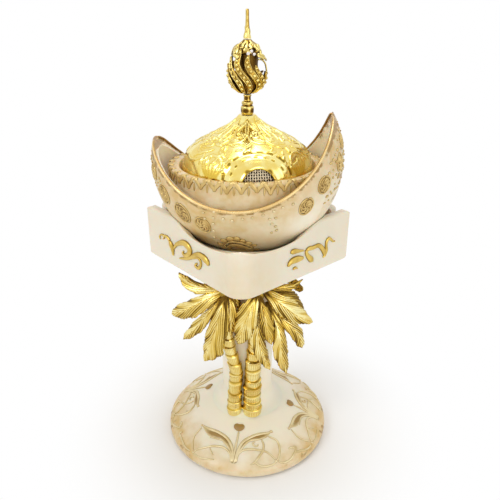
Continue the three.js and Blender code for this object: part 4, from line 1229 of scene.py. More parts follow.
# Each scroll of a board: points along the board from the front corner, up it, and half widths
LEFT_SCROLLS = [
    [(79.1, 14.9, 0.4), (79.8, 16.6, 0.5), (77.8, 18.6, 0.6), (75.0, 18.9, 0.6), (74.3, 17.6, 0.5),
     (75.8, 16.0, 0.3)],
    [(74.1, 19.2, 0.6), (70.6, 19.0, 1.0), (67.7, 17.5, 1.1)],
    [(68.2, 17.4, 1.0), (66.7, 15.2, 2.0), (65.4, 12.7, 1.7), (65.1, 10.2, 1.1), (64.8, 8.2, 0.6)],
    [(63.8, 13.5, 0.7), (61.0, 16.9, 1.2), (56.9, 19.4, 1.5), (52.7, 20.9, 1.9), (49.1, 20.7, 2.2),
     (46.6, 19.3, 2.2),
     (46.2, 17.2, 2.0), (48.4, 14.4, 1.6), (51.8, 12.8, 1.2), (54.0, 13.5, 0.8), (53.0, 15.4, 0.5)],
    [(58.0, 8.6, 0.5), (53.2, 10.2, 0.9), (49.0, 11.7, 1.1), (44.9, 13.9, 1.2), (41.5, 16.4, 1.4),
     (37.5, 18.3, 1.5),
     (33.7, 18.3, 2.0), (30.4, 17.5, 2.2), (28.5, 16.2, 1.8), (28.0, 14.3, 0.7)],
    [(43.3, 13.6, 0.5), (40.0, 15.4, 0.8), (36.9, 15.7, 0.9), (35.3, 14.1, 0.9), (35.7, 11.6, 1.0),
     (38.0, 9.1, 1.1),
     (40.5, 9.2, 0.9), (41.0, 10.4, 0.7), (38.9, 11.9, 0.5)],
]
RIGHT_SCROLLS = [
    [(51.2, 18.5, 0.4), (47.5, 19.2, 0.9), (43.8, 20.2, 1.5), (41.2, 20.4, 1.5), (39.8, 19.8, 0.6)],
    [(50.9, 13.6, 0.9), (47.2, 14.1, 1.9), (43.8, 14.5, 2.1), (40.9, 14.3, 1.9), (39.0, 13.3, 1.4),
     (37.8, 11.7, 0.6)],
    [(46.2, 8.1, 0.4), (44.1, 9.0, 0.8), (42.3, 8.5, 0.6)],
    [(53.7, 17.6, 1.1), (55.7, 18.3, 1.3), (58.8, 17.9, 1.3), (61.9, 18.0, 1.3), (64.8, 17.8, 1.3),
     (67.9, 15.2, 1.5),
     (70.0, 12.0, 1.5), (70.9, 9.5, 1.2), (69.2, 8.3, 0.5)],
    [(53.6, 18.4, 1.2), (53.8, 15.8, 1.2), (55.7, 12.9, 1.5), (58.3, 10.2, 1.8), (59.9, 8.7, 0.7)],
    [(70.9, 9.8, 1.2), (72.1, 12.4, 1.3), (71.8, 15.7, 1.0), (72.1, 18.5, 1.1), (73.6, 19.9, 1.1),
     (76.0, 18.9, 0.9),
     (78.3, 16.8, 0.6), (80.4, 16.5, 0.3)],
]


# A board's top: millimetres from the corner, height of the outer edge and of the inner edge
BOARD_TOP = np.array([
    [0, 30.6, 27.6], [6, 29.6, 26.8], [12, 28.2, 25.4], [18, 27.2, 24.0], [24, 26.5, 23.0], [30, 26.2, 22.4],
    [36, 26.3, 22.2], [42, 26.9, 22.4], [48, 28.1, 23.4], [54, 30.4, 27.0], [60, 33.0, 32.0],
    [64, 34.2, 34.2],
])
BOARD_END_ROUND = 4.5
BOARD_SOFT_EDGE = 1.5
BOARD_CLOUD = 17
BOARD_CLOUD_SEED = 5
BACK_SHORTER = 11.5


def board_top(along, depth):
    """The height of a board's top over its bottom, scooped under the bowl and falling inward."""
    full = high("front_panels") - BOARD_BOTTOM
    rows = BOARD_TOP
    outer = np.interp(np.asarray(along, float), rows[:, 0], rows[:, 1])
    inner = np.interp(np.asarray(along, float), rows[:, 0], rows[:, 2])
    return np.minimum(outer + (inner - outer) * np.clip(depth / BOARD_THICKNESS, 0, 1), full)


def board_section():
    """A board's closed cross-section: depth from the outer face, share of the height, and rounding."""
    soft = BOARD_SOFT_EDGE
    rows = []
    quarter = np.linspace(0, math.pi / 2, 5)[1:-1]
    for up in np.linspace(0, 1, 16):
        rows.append((0.0, up, soft * (1 - 2 * up)))
    rows += [(soft - soft * math.cos(a), 1.0, soft * math.sin(a) - soft) for a in quarter]
    for depth in np.linspace(soft, BOARD_THICKNESS - soft, 4):
        rows.append((depth, 1.0, 0.0))
    rows += [(BOARD_THICKNESS - soft + soft * math.sin(a), 1.0, soft * math.cos(a) - soft) for a in quarter]
    for up in np.linspace(1, 0, 9):
        rows.append((BOARD_THICKNESS, up, soft * (1 - 2 * up)))
    rows += [(BOARD_THICKNESS - soft + soft * math.cos(a), 0.0, soft - soft * math.sin(a)) for a in quarter]
    for depth in np.linspace(BOARD_THICKNESS - soft, soft, 4):
        rows.append((depth, 0.0, 0.0))
    rows += [(soft - soft * math.sin(a), 0.0, soft - soft * math.cos(a)) for a in quarter]
    return np.array(rows)


def bowl_oval(halves, around, upward, masks=False):
    """A new bmesh that holds the bowl's whole oval, with the given half lengths."""
    bm = new_mesh() if masks else bmesh.new()
    bmesh.ops.create_uvsphere(bm, u_segments=around, v_segments=upward, radius=1.0)
    bmesh.ops.scale(bm, vec=tuple(halves), verts=bm.verts)
    bmesh.ops.translate(bm, vec=(0, 0, BOWL_CENTRE_Z), verts=bm.verts)
    return bm


def board_pair(back):
    """A pair of boards in one V, with soft edges, a round corner and a scoop in each under the bowl."""
    bm = new_mesh()
    length = CORNER_FRONT * math.sqrt(2) - (BACK_SHORTER if back else 0.0)
    straight = length - BOARD_CORNER
    arc = BOARD_CORNER * math.pi / 2
    ends = np.concatenate([np.linspace(0, 5, 12), np.linspace(6, straight, 60)])
    turn = straight + np.linspace(0, arc, 25)[1:-1]
    stations = np.concatenate([[0], ends, turn, 2 * straight + arc - ends[::-1], [2 * straight + arc]])
    total = 2 * straight + arc
    last = len(stations) - 1
    section = board_section()
    root = math.sqrt(0.5)

    def shape(over, run):
        row = np.clip(np.rint(run * last).astype(int), 0, last)
        spot = np.rint(over * len(section)).astype(int) % len(section)
        place = stations[row]
        side = np.where(place < total / 2, -1.0, 1.0)
        reach = np.where(side < 0, straight - place, place - straight - arc)
        bend = np.clip((place - straight) / arc, 0, 1) * math.pi / 2 - math.pi / 4
        flat = reach >= 0
        away = np.where(flat, BOARD_CORNER + reach, BOARD_CORNER * np.abs(bend) / (math.pi / 4))
        normal_x = np.where(flat, side * root, np.sin(bend))
        normal_y = np.where(flat, -root, -np.cos(bend))
        centre_y = -CORNER_FRONT + BOARD_CORNER * math.sqrt(2)
        x = np.where(flat, side * root * away, BOARD_CORNER * np.sin(bend))
        y = np.where(flat, -CORNER_FRONT + root * away, centre_y - BOARD_CORNER * np.cos(bend))
        end = length - away
        inset = np.where(end < BOARD_END_ROUND, BOARD_END_ROUND - np.sqrt(
            np.clip(BOARD_END_ROUND**2 - (BOARD_END_ROUND - np.clip(end, 0, None)) ** 2, 0, None)), 0)
        soft = BOARD_SOFT_EDGE
        rounding = np.sqrt(np.clip(soft**2 - (soft - np.clip(end, 0, None)) ** 2, 0, None))
        thin = np.where(end < soft, soft - rounding, 0)
        depth = np.clip(section[spot, 0], thin, BOARD_THICKNESS - thin)
        height = board_top(away, depth)
        level = section[spot, 1] * height + section[spot, 2]
        level = np.clip(level, inset, height - inset)
        tip = (row == 0) | (row == last)
        depth = np.where(tip, BOARD_THICKNESS / 2, depth)
        level = np.where(tip, height / 2, level)
        points = np.stack([x - normal_x * depth, y - normal_y * depth, BOARD_BOTTOM + level], axis=1)
        soft_wave = 0.12 * (1 + patchy(points, 18, 40))
        points[:, :2] -= np.stack([normal_x, normal_y], axis=1) * (soft_wave * (depth < 1))[:, None]
        wash = 0.2 + 0.2 * patchy(points, BOARD_CLOUD, BOARD_CLOUD_SEED)
        # Painted shade: darker low at the front corner, under the bowl and behind the palm crowns
        wash += 0.7 * ease(34, 8, level) * ease(38, 6, away)
        plain = np.zeros(len(points))
        return points, {"wash": np.clip(wash, 0, 1), "rub": plain, "groove": plain}

    add_form(bm, len(section), last, shape)
    if back:
        turn_to_back(bm)
    obj = finish(bm, "back_boards" if back else "front_boards", 38)
    cut_away(obj, finish(bowl_oval(BOWL_HALF + SEAT_GAP, 128, 80), "bowl_room"))
    return obj


BLOCK_HEIGHT = 27.5
BLOCK_CORNER = 5
# The dish in the block's top: height of its flat middle, radius of that middle, slope, and the cutter's size
DISH_HEIGHT = 11.0
DISH_FLAT = 18.0
DISH_SLOPE = 0.44
DISH_REACH = 70.0
DISH_ROOM = 60
CUTTER_LENGTH = 200


def capital_block():
    """The square block between the boards, dished under the bowl and bored for the rod."""
    bm = new_mesh()
    half = (CORNER_FRONT - BOARD_THICKNESS * math.sqrt(2) - 0.5) / math.sqrt(2)
    bmesh.ops.create_cube(bm, size=1)
    bmesh.ops.scale(bm, vec=(2 * half, 2 * half, BLOCK_HEIGHT), verts=bm.verts)
    upright = [e for e in bm.edges if abs(e.verts[0].co.z - e.verts[1].co.z) > 1]
    bmesh.ops.bevel(bm, geom=upright, offset=BLOCK_CORNER, segments=6, affect="EDGES", profile=0.5,
                    material=-1)
    bmesh.ops.rotate(bm, verts=bm.verts, cent=(0, 0, 0), matrix=Matrix.Rotation(math.pi / 4, 3, "Z"))
    bmesh.ops.translate(bm, vec=(0, 0, BOARD_BOTTOM + BLOCK_HEIGHT / 2), verts=bm.verts)
    block = finish(bm, "capital_block", 35)
    dish = new_mesh()
    base = BOARD_BOTTOM + DISH_HEIGHT
    edge = base + DISH_SLOPE * (DISH_REACH - DISH_FLAT)
    lid = base + DISH_ROOM
    profile = [(0, base), (DISH_FLAT, base), (DISH_REACH, edge), (DISH_REACH, lid), (0, lid)]
    add_spun(dish, profile, 128, closed=False)
    bmesh.ops.scale(dish, vec=(BOWL_HALF[0] / BOWL_HALF[1], 1, 1), verts=dish.verts)
    room = bowl_oval(BOWL_HALF + SEAT_GAP, 128, 80)
    bore = cylinder(ROD_BORE, CUTTER_LENGTH, 48)
    bmesh.ops.translate(bore, vec=(0, 0, BOARD_BOTTOM), verts=bore.verts)
    cut_away(block, finish(dish, "dish_room"), finish(room, "bowl_room"), finish(bore, "rod_room"))
    write_masks(block, wash=0.25 + 0.2 * patchy(vertices_of(block), BOARD_CLOUD, BOARD_CLOUD_SEED), rub=0.0)
    return block


def add_board_scrolls(bm, shorter):
    """Adds both boards' scrolls, shortened along for the back pair."""
    lift = sizes().scroll_relief / MM
    for side, scrolls in ((-1, LEFT_SCROLLS), (1, RIGHT_SCROLLS)):
        for line in scrolls:
            path = smooth_line(line, 9 * len(line))
            points, normals = on_board(side, path[:, 0] * shorter, path[:, 1])
            widths = np.maximum(path[:, 2], 0.3) * 1.1
            add_ridge(bm, points, normals, widths, lift * (0.35 + 0.3 * widths), sides=16)


BACK_SCROLL_SHARE = 0.88


def board_scrolls(back):
    """The gilded scrolls on a pair of boards."""
    bm = new_mesh()
    add_board_scrolls(bm, BACK_SCROLL_SHARE if back else 1.0)
    if back:
        turn_to_back(bm)
    return finish(bm, f"{'back' if back else 'front'}_board_scrolls", 70)


# The crescent bowl


# Each medallion: azimuth, height, half width and half height
MEDALLIONS = [
    (-45.1, 186.0, 5.6, 6.4), (-30.1, 180.6, 5.2, 5.4), (-59.5, 194.5, 4.8, 5.8), (-70, 206, 4.0, 4.8),
    (43.6, 192.5, 4.6, 5.2), (55.4, 203.6, 4.6, 5.2), (72.0, 213.0, 3.8, 5.0), (79.5, 224.0, 2.8, 4.2),
]
BOWL_DOTS = [
    (-26.3, 186.0), (-19.7, 187.2), (-12.7, 187.2), (-6.6, 186.4), (0.5, 187.7), (7.1, 188.6), (14.1, 190.3),
    (20.9, 192.3), (26.6, 194.2), (33.2, 195.5),
]
BOWL_DOT_COLUMNS = [
    (-20.8, 183), (-22.5, 177.5), (-24.6, 172), (18.8, 187.2), (23.0, 187.7), (21.0, 183.7), (24.0, 181.6),
    (25.7, 178.6),
    (22.4, 177.0), (-26.5, 190.0), (-18.4, 191.5),
]
# The shell-like leaf under the bowl: azimuth, height, half width, lift and stretch of each lobe
SHELL_LOBES = [
    (-22.6, 165.4, 2.3, 1.0, 1.3), (-17.0, 169.6, 2.4, 1.1, 1.1), (-10.6, 172.0, 2.5, 1.2, 1.1),
    (-5.0, 172.6, 2.2, 1.2, 1.0),
    (-0.6, 170.8, 2.0, 1.1, 1.1), (4.4, 168.6, 2.1, 1.0, 1.2), (9.6, 166.4, 1.8, 0.8, 1.3),
    (-18.0, 163.4, 2.3, 1.4, 1.6), (-9.6, 166.4, 2.5, 1.5, 1.3), (-2.6, 165.2, 2.4, 1.4, 1.4),
    (5.0, 163.4, 2.2, 1.2, 1.6),
    (-14.5, 159.6, 2.2, 1.2, 2.0), (-4.5, 160.2, 2.4, 1.3, 2.0), (6.5, 160.2, 2.1, 1.1, 1.8),
    (13.6, 161.6, 1.5, 0.7, 1.8),
]


def rim_drop(points):
    """How far each point lies below the crescent's rim surface, in millimetres."""
    lean_y, lean_z = math.sin(CUT_LEAN), math.cos(CUT_LEAN)
    x = points[:, 0] - CUT_SHIFT
    z = points[:, 2] - BOWL_CENTRE_Z - CUT_RISE
    across = points[:, 1] * lean_y + z * lean_z
    return np.hypot(x, across) - CUT_RADIUS


def cut_bottom(bm, height):
    """Cuts a closed shape off below a height and closes it with a flat face."""
    bmesh.ops.bisect_plane(
        bm, geom=bm.verts[:] + bm.edges[:] + bm.faces[:], plane_co=(0, 0, height), plane_no=(0, 0, -1),
        clear_outer=True,
    )
    bmesh.ops.holes_fill(bm, edges=[e for e in bm.edges if e.is_boundary], sides=0)


# Cutters run from below the bowl to above its horns
UNDER_THE_BOWL = 140
OVER_THE_HORNS = 240
NUT_WELL_RADIUS = 11.0


def bowl_body():
    """The crescent bowl: an oval body, hollowed, with its rim cut to two horns."""
    bm = bowl_oval(BOWL_HALF, 224, 144, masks=True)
    cut_bottom(bm, low("crescent_bowl"))
    body = finish(bm, "crescent_body")

    def round_cutter(name, radius, bottom, top, stretch=(1, 1), steps=96):
        bm = cylinder(radius, top - bottom, steps)
        bmesh.ops.scale(bm, vec=(*stretch, 1), verts=bm.verts)
        bmesh.ops.translate(bm, vec=(0, 0, (top + bottom) / 2), verts=bm.verts)
        return finish(bm, name)

    bm = cylinder(CUT_RADIUS, CUTTER_LENGTH, 360)
    lean = Matrix.Rotation(-CUT_LEAN, 4, "X") @ Matrix.Rotation(math.pi / 2, 4, "X")
    place = Matrix.Translation((CUT_SHIFT, 0, BOWL_CENTRE_Z + CUT_RISE)) @ lean
    bmesh.ops.transform(bm, matrix=place, verts=bm.verts)
    crescent = finish(bm, "rim_cutter")

    bm = bowl_oval(BOWL_HALF - BOWL_WALL, 160, 96)
    cut_bottom(bm, DECK_Z)
    hollow = finish(bm, "hollow_cutter")
    oval = (COLLAR_LENGTH + SEAT_GAP, COLLAR_DEPTH + SEAT_GAP)
    room = round_cutter("collar_cutter", 1.0, DECK_Z, OVER_THE_HORNS, oval, 160)
    well = round_cutter("well_cutter", NUT_WELL_RADIUS, low("bowl_washer") - SEAT_GAP, DECK_Z + 1)
    bore = round_cutter("bore_cutter", ROD_BORE, UNDER_THE_BOWL, low("bowl_washer") + 1, steps=48)
    cut_away(body, crescent, hollow, room, well, bore)
    shade_bowl(body)
    return body


def shade_bowl(body):
    """Writes the bowl's wash and rub masks."""
    points = vertices_of(body)
    drop = rim_drop(points)
    level = np.linalg.norm((points - [0, 0, BOWL_CENTRE_Z]) / BOWL_HALF, axis=1)
    outside = ease(0.965, 0.99, level)
    cloud = patchy(points, 12, 11) * 0.5 + patchy(points, 4, 12) * 0.35
    azimuth = np.degrees(np.arctan2(points[:, 0], -points[:, 1]))
    low_part = 1 - ease(158, 176, points[:, 2])
    sides = ease(24, 60, np.abs(azimuth + 4))
    left = ease(12, -45, azimuth)
    near_rim = 1 - ease(2, 20, drop)
    mottle = patchy(points, 2.2, 13)
    amber = 0.58 + 0.36 * left + 0.2 * near_rim + 0.3 * cloud
    amber -= 0.42 * ease(15, 55, azimuth) * ease(6, 20, drop)
    amber += 0.25 * sides * (np.abs(azimuth) > 60)
    # Painted light: paler low on the front and right, against the shade where the bowl's underside meets the
    # boards
    amber -= 0.18 * ease(175, 160, points[:, 2]) * ease(-20, 25, azimuth)
    wash = outside * amber + (1 - outside) * (0.02 + 0.12 * cloud)
    horns = ease(58, 80, np.abs(azimuth)) * (0.42 + 0.7 * mottle + 0.4 * cloud)
    under_rim = ease(3.4, 1.6, drop) * ease(-0.4, 0.4, mottle + 0.4) * 0.75
    streaks = 0.3 * left * np.clip(mottle, 0, 1) * near_rim
    rub = outside * (0.22 * low_part * left + horns + under_rim + streaks)
    edge = (1 - ease(0.5, 3.5, drop)) * ease(205, 218, points[:, 2])
    write_masks(body, wash=wash, rub=rub + edge * (0.3 + cloud), groove=0.0)


# The vein over the shell's lobes: azimuths and heights
SHELL_VEIN = np.array([[-21, 162.5], [-12, 168.2], [-3, 168.6], [9, 164.6]])
# Small marks on the horns: degrees between columns and how many in each
HORN_MARK_PITCH = 3.2
HORN_MARK_ROWS = 7


def bowl_ornament():
    """Cast ornament on the bowl: medallions, a shell of leaves and small marks on the horns, in front and
    behind.
    """
    bm = new_mesh()
    random = np.random.default_rng(7)
    for half_turn in (0.0, 180.0):
        for azimuth, height, wide, tall in MEDALLIONS:
            if clear_of_rim(azimuth + half_turn, height, tall + 1.0):
                add_medallion(bm, azimuth + half_turn, height, wide, tall)
        for azimuth, height, size, lift, wide in SHELL_LOBES:
            bowl_knob(bm, azimuth + half_turn, height, size, lift, wide)
        for shift in (-1.2, 1.4):
            vein = smooth_line(SHELL_VEIN + [0, shift], 40)
            points, normals = on_bowl(vein[:, 0] + half_turn, vein[:, 1], 1.0)
            add_ridge(bm, points, normals, 0.5 * tapered(40, 0.6, 1.1, 0.5), np.full(40, 0.6), sides=8)
        # Small marks crowd the outer side of each horn
        for side in (-1, 1):
            for azimuth in np.arange(60, 86, HORN_MARK_PITCH):
                for step in range(HORN_MARK_ROWS):
                    spread = azimuth + random.uniform(-1.2, 1.2)
                    height = 190 + step * 6.4 + (azimuth - 60) * 0.7 + random.uniform(-1.6, 1.6)
                    size = random.uniform(0.5, 1.1)
                    if clear_of_rim(side * spread + half_turn, height, 3.2):
                        bowl_knob(bm, side * spread + half_turn, height, size, 0.6, random.uniform(1, 1.8))
    return finish(bm, "bowl_ornament", 60)


def bowl_pearls():
    """Rows of pale pearls between the medallions, in front and behind."""
    bm = new_mesh()
    for half_turn in (0.0, 180.0):
        for azimuth, height in BOWL_DOTS + BOWL_DOT_COLUMNS:
            bowl_knob(bm, azimuth + half_turn, height, 0.95, 0.9)
    return finish(bm, "bowl_pearls", 60)


def clear_of_rim(azimuth, height, room):
    """Whether a place on the bowl lies at least room millimetres below the rim."""
    spot, _ = on_bowl(np.array([azimuth]), np.array([height]))
    return rim_drop(spot)[0] > room


def bowl_knob(bm, azimuth, height, size, lift, wide=1.0):
    """Adds a knob on the bowl's outside."""
    spot, normal = on_bowl(np.array([azimuth]), np.array([height]))
    add_knob(bm, spot[0], normal[0], size, lift, wide)


MEDALLION_RIBS = 7
MEDALLION_SHADE = 0.78
# The bowl's usual radius at the medallions, which turns millimetres into degrees
MEDALLION_REACH = 52


def add_medallion(bm, azimuth, height, wide, tall):
    """Adds a raised medallion: a rope rim round a shell of ribs."""
    disc = len(bm.verts)
    bowl_knob(bm, azimuth, height, tall * 0.96, 0.3, wide / tall)
    groove = bm.verts.layers.float["groove"]
    bm.verts.ensure_lookup_table()
    for vert in bm.verts[disc:]:
        vert[groove] = MEDALLION_SHADE
    spin = np.linspace(0, FULL_TURN, 49)
    for share, half, lift in ((1.0, 0.55, 0.65), (0.72, 0.4, 0.5)):
        x = np.sin(spin) * wide * share
        z = np.cos(spin) * tall * share
        points, normals = on_bowl(azimuth + np.degrees(x / MEDALLION_REACH), height + z)
        add_ridge(bm, points, normals, np.full(len(spin), half), np.full(len(spin), lift), sides=8)
    for rib in range(MEDALLION_RIBS):
        turn = rib / MEDALLION_RIBS * FULL_TURN
        reach = np.linspace(0.05, 0.92, 10)
        bent = turn + 1.5 * reach
        aside = np.degrees(np.sin(bent) * wide * reach / MEDALLION_REACH)
        points, normals = on_bowl(azimuth + aside, height + np.cos(bent) * tall * reach)
        add_ridge(bm, points, normals, 0.5 * tapered(10, 0.6, 1.1, 0.8), np.full(10, 0.75), sides=8)


def rim_beads():
    """The raised rim along the crescent's edge, in front and behind."""
    bm = new_mesh()
    for side in (-1, 1):
        # The tips are left to the horns' own edge
        line = rim_line(260, side)[6:-6]
        centre = np.array([0, 0, BOWL_CENTRE_Z])
        normals = (line - centre) / BOWL_HALF**2
        normals = unit(normals)
        count = len(line)
        widths = 1.0 * tapered(count, 0.55, 1.0, 0.55) * (1 + 0.06 * np.sin(np.arange(count) * 0.5))
        inward = line - normals * 0.5
        add_ridge(bm, inward, normals, widths, widths * 1.1, sides=12, sunk=1.1)
    return finish(bm, "crescent_rim", 70)


# The seat collar


def collar_body():
    """The oval collar that the dome sits in."""
    bm = new_mesh()
    bore = high("dome_base_ring", "x") + 0.6
    ledge_top = RING_BOTTOM - 0.3
    ledge = bore - 4.4
    steps = 384
    wide = 100.0
    walls = np.concatenate([
        np.column_stack([np.full(40, wide), np.linspace(COLLAR_BOTTOM, COLLAR_TOP - 1.2, 40)]),
        [[wide - 0.35, COLLAR_TOP - 0.35], [wide - 1.2, COLLAR_TOP]],
    ])
    profile = [tuple(p) for p in walls] + [
        (bore + 0.4, COLLAR_TOP), (bore, COLLAR_TOP - 0.4), (bore, ledge_top), (ledge, ledge_top),
        (ledge, COLLAR_BOTTOM)
    ]
    add_spun(bm, profile, steps)
    obj = finish(bm, "collar_band", 45)
    points = vertices_of(obj)
    azimuth, radius = turn_and_reach(points)
    oval = 1 / np.hypot(np.sin(azimuth) / COLLAR_LENGTH, np.cos(azimuth) / COLLAR_DEPTH)
    on_wall = radius > 90
    inset = wide - radius
    down = COLLAR_TOP - points[:, 2]
    roll = 0.5 * (1 - ease(1.5, 2.6, down))
    new_radius = np.where(on_wall, oval - inset - 0.5 + roll * on_wall, radius)
    points = round_axis(azimuth, new_radius, points[:, 2])
    move_vertices(obj, points)
    cloud = patchy(points, 7, 21) * 0.6 + patchy(points, 2.4, 22) * 0.4
    top = ease(2, -0.5, down)
    wash = 0.78 + 0.35 * cloud + 0.2 * ease(9, 4, down)
    rub = 0.5 * cloud * ease(11, 5, down) + 0.25 * top * (cloud > 0.2)
    write_masks(obj, wash=wash, rub=rub, groove=0.0)
    return obj


def on_collar(azimuth, down):
    """Points and normals on the collar: down its wall, or inward from its edge where down is negative."""
    turn = np.radians(azimuth)
    down = np.asarray(down, float)
    oval = 1 / np.hypot(np.sin(turn) / COLLAR_LENGTH, np.cos(turn) / COLLAR_DEPTH)
    reach = oval - 0.45 + np.minimum(down, 0)
    height = COLLAR_TOP - np.maximum(down, 0) - 0.1
    points = round_axis(turn, reach, height)
    share = ease(-1.2, 1.2, down)
    normals = round_axis(turn, share, 1.0 - share + 0.05)
    return points, unit(normals)


COLLAR_LEAF_PAIRS = 34


def collar_leaves():
    """Pairs of small leaves in a row of V shapes round the collar's upper edge."""
    bm = new_mesh()
    random = np.random.default_rng(11)
    pitch = 360.0 / COLLAR_LEAF_PAIRS
    for number in range(COLLAR_LEAF_PAIRS):
        middle = number * pitch + random.uniform(-0.8, 0.8)
        deep = random.uniform(5.6, 7.4)
        for side in (-1, 1):
            arm = smooth_line([
                (middle + side * 0.2, deep), (middle + side * 1.3, deep * 0.55), (middle + side * 3.6, 0.9),
                (middle + side * 4.9, -1.2), (middle + side * 4.2, -3.4),
            ], 22)
            points, normals = on_collar(arm[:, 0], arm[:, 1])
            add_ridge(bm, points, normals, 1.25 * tapered(22, 0.4, 1.15, 0.5), np.full(22, 0.6), sides=8)
        tip = smooth_line([(middle + 5.2, 7.4), (middle + 5.4, 4.6), (middle + 5.3, 2.2)], 10)
        points, normals = on_collar(tip[:, 0], tip[:, 1])
        add_ridge(bm, points, normals, 0.6 * tapered(10, 0.5, 1.1, 0.5), np.full(10, 0.4), sides=8)
    return finish(bm, "collar_leaves", 60)


# The dome


WINDOW_AZIMUTHS = (13.0, 193.0)
WINDOW_Z = 204.2
WINDOW_RADIUS = 9.3


def window_distance(azimuth, run):
    """Distance and turn of surface places from the nearest window's middle, in millimetres and radians."""
    middle = np.interp(WINDOW_Z, DOME_LINE[:, 1], DOME_RUN)
    radius = np.interp(run, DOME_RUN, DOME_LINE[:, 0])
    best = np.full(len(azimuth), 1e9)
    turn = np.zeros(len(azimuth))
    for window in WINDOW_AZIMUTHS:
        x = np.radians(turn_from(azimuth, window)) * (radius * 0.5 + SHELL_RADIUS * 0.5)
        z = run - middle
        reach = np.hypot(x, z)
        nearer = reach < best
        best = np.where(nearer, reach, best)
        turn = np.where(nearer, np.arctan2(z, x), turn)
    return best, turn


DOME_COMMAS = 190


def dome_strokes():
    """The dome's raised strokes: points on its surface, half widths and heights."""
    strokes = []

    def stroke(line, half, lift):
        path = smooth_line(line, max(8, 6 * len(line)))
        strokes.append((path, half * 0.8, lift * 0.8))

    for lobe in range(4):
        a = 3.0 + 90 * lobe
        stroke([(a, 58), (a, 52), (a, 46)], 1.5, 0.9)
        for way in (-1, 1):
            stroke([(a + way * 4, 57), (a + way * 15, 54.5), (a + way * 24, 50), (a + way * 21, 45),
                    (a + way * 12, 44.5), (a + way * 10, 48)], 1.3, 1.0)
            side_scroll = [(a + way * 40, 57), (a + way * 36, 51), (a + way * 33, 45), (a + way * 36, 40)]
            stroke(side_scroll, 1.2, 0.9)
            low_scroll = [(a + way * 2, 46), (a + way * 8, 41), (a + way * 18, 38.5), (a + way * 28, 38)]
            stroke(low_scroll, 1.4, 1.0)
            stroke([(a + way * 30, 41), (a + way * 36, 36), (a + way * 44, 36.5)], 1.2, 0.9)
        stroke([(a - 6, 40.5), (a, 37.5), (a + 6, 40.5)], 1.0, 0.8)
        stroke([(a + 45, 55), (a + 45, 48), (a + 45, 42)], 1.3, 0.9)
    for window in WINDOW_AZIMUTHS:
        for side in (-1, 1):
            fan = window + side * 40.8
            for rib in range(6):
                spread = (rib - 2.5) * 3.4 * side
                petal = [(fan - side * 7, 9), (fan + spread * 0.6, 15), (fan + spread * 1.4, 21.5)]
                stroke(petal, 0.75, 0.7)
            arch = [(fan - side * 12, 15), (fan - side * 6, 25), (fan + side * 6, 27),
                    (fan + side * 15, 20.5)]
            stroke(arch, 1.0, 0.9)
            curl = [(fan + side * 9, 31), (fan + side * 22, 27.5), (fan + side * 32, 31),
                    (fan + side * 26, 35)]
            stroke(curl, 1.1, 0.9)
            stroke([(fan + side * 16, 24), (fan + side * 28, 21), (fan + side * 40, 23)], 1.1, 0.8)
    # Small commas fill the ground between the scrolls
    random = np.random.default_rng(5)
    for _ in range(DOME_COMMAS):
        azimuth, place = random.uniform(0, 360), random.uniform(20, 55)
        turn = random.uniform(0, FULL_TURN)
        long = random.uniform(1.6, 3.0)
        radius = float(np.interp(place, DOME_RUN, DOME_LINE[:, 0]))
        arc = turn + np.array([-0.7, 0.0, 0.7]) * random.choice([-1, 1])
        x = np.cumsum(np.cos(arc)) * long
        z = np.cumsum(np.sin(arc)) * long
        stroke([(azimuth + math.degrees(a / radius), place + b) for a, b in zip(x, z)], 0.95, 0.75)
    return strokes


def dome_heights(azimuth, run):
    """Height of the relief and the groove mask at places on the dome."""
    spots, halves, lifts = [], [], []
    for path, half, lift in dome_strokes():
        taper = tapered(len(path), 0.55, 1.0, 0.5)
        spots.append(on_dome(path[:, 0], path[:, 1]))
        halves.append(half * taper)
        lifts.append(lift * (0.6 + 0.4 * taper))
    spots, halves, lifts = np.vstack(spots), np.concatenate(halves), np.concatenate(lifts)
    tree = point_tree(spots)
    points = on_dome(azimuth, run)
    height = np.zeros(len(points))
    near = np.zeros(len(points))
    for i, point in enumerate(points):
        for _, j, away in tree.find_range(point, 2.6):
            share = away / halves[j]
            if share < 1:
                height[i] = max(height[i], lifts[j] * math.sqrt(1 - share * share))
            near[i] = max(near[i], 1 - max(0.0, away - halves[j]) / 1.2)
    away, turn = window_distance(azimuth, run)
    medallion = 1 - ease(20.6, 21.6, away)
    height *= 1 - medallion
    near *= 1 - medallion
    dashes = ease(-0.2, 0.3, np.cos(turn * 17 + 0.8 * np.sin(turn * 5)) + 0.5)
    ring = 0.3 * peak(away, 19.6, 0.9) + 0.15 * peak(away, 16.2, 0.7)
    lip = 0.8 * peak(away, 10.1, 0.7)
    scallop = 0.2 * np.cos(turn * 14 + 1.0) * ease(16.6, 17.4, away) * (1 - ease(18.6, 19.4, away))
    inside = ring + lip + scallop
    lower_band = (1 - ease(17.5, 19.0, run)) * (1 - medallion)
    height = height * (1 - 0.75 * lower_band) + inside * medallion
    hollows = 1.6 * dashes * peak(away, 21.2, 0.66)
    hollows += 1.0 * (1 - dashes) * peak(away, 17.4, 0.55) * (np.sin(turn) > 0.2)
    hollows += 1.1 * peak(away, 9.3, 0.75)
    # Two dark marks in the window's upper edge
    for nick in (2.25, 0.85):
        hollows += 1.4 * np.exp(-(((turn - nick) * 10 / 1.3) ** 2) - ((away - 10.4) / 1.2) ** 2)
    # Painted reflection: the amber collar seen in the dome's lower band, as deeper gold
    painted_collar_reflection = 0.42 * (1 - ease(7.0, 15.0, run)) * (1 - medallion)
    groove = 0.52 * np.clip(near, 0, 1) * (1 - ease(0.1, 0.5, height)) + 1.3 * hollows + painted_collar_reflection
    bands = 0.35 * peak(run, 3.2, 0.8) + 0.25 * peak(run, 58.2, 0.8)
    return height + bands, np.clip(groove, 0, 1)


DOME_WALL = 1.2
NECK_HOLE = 3.0


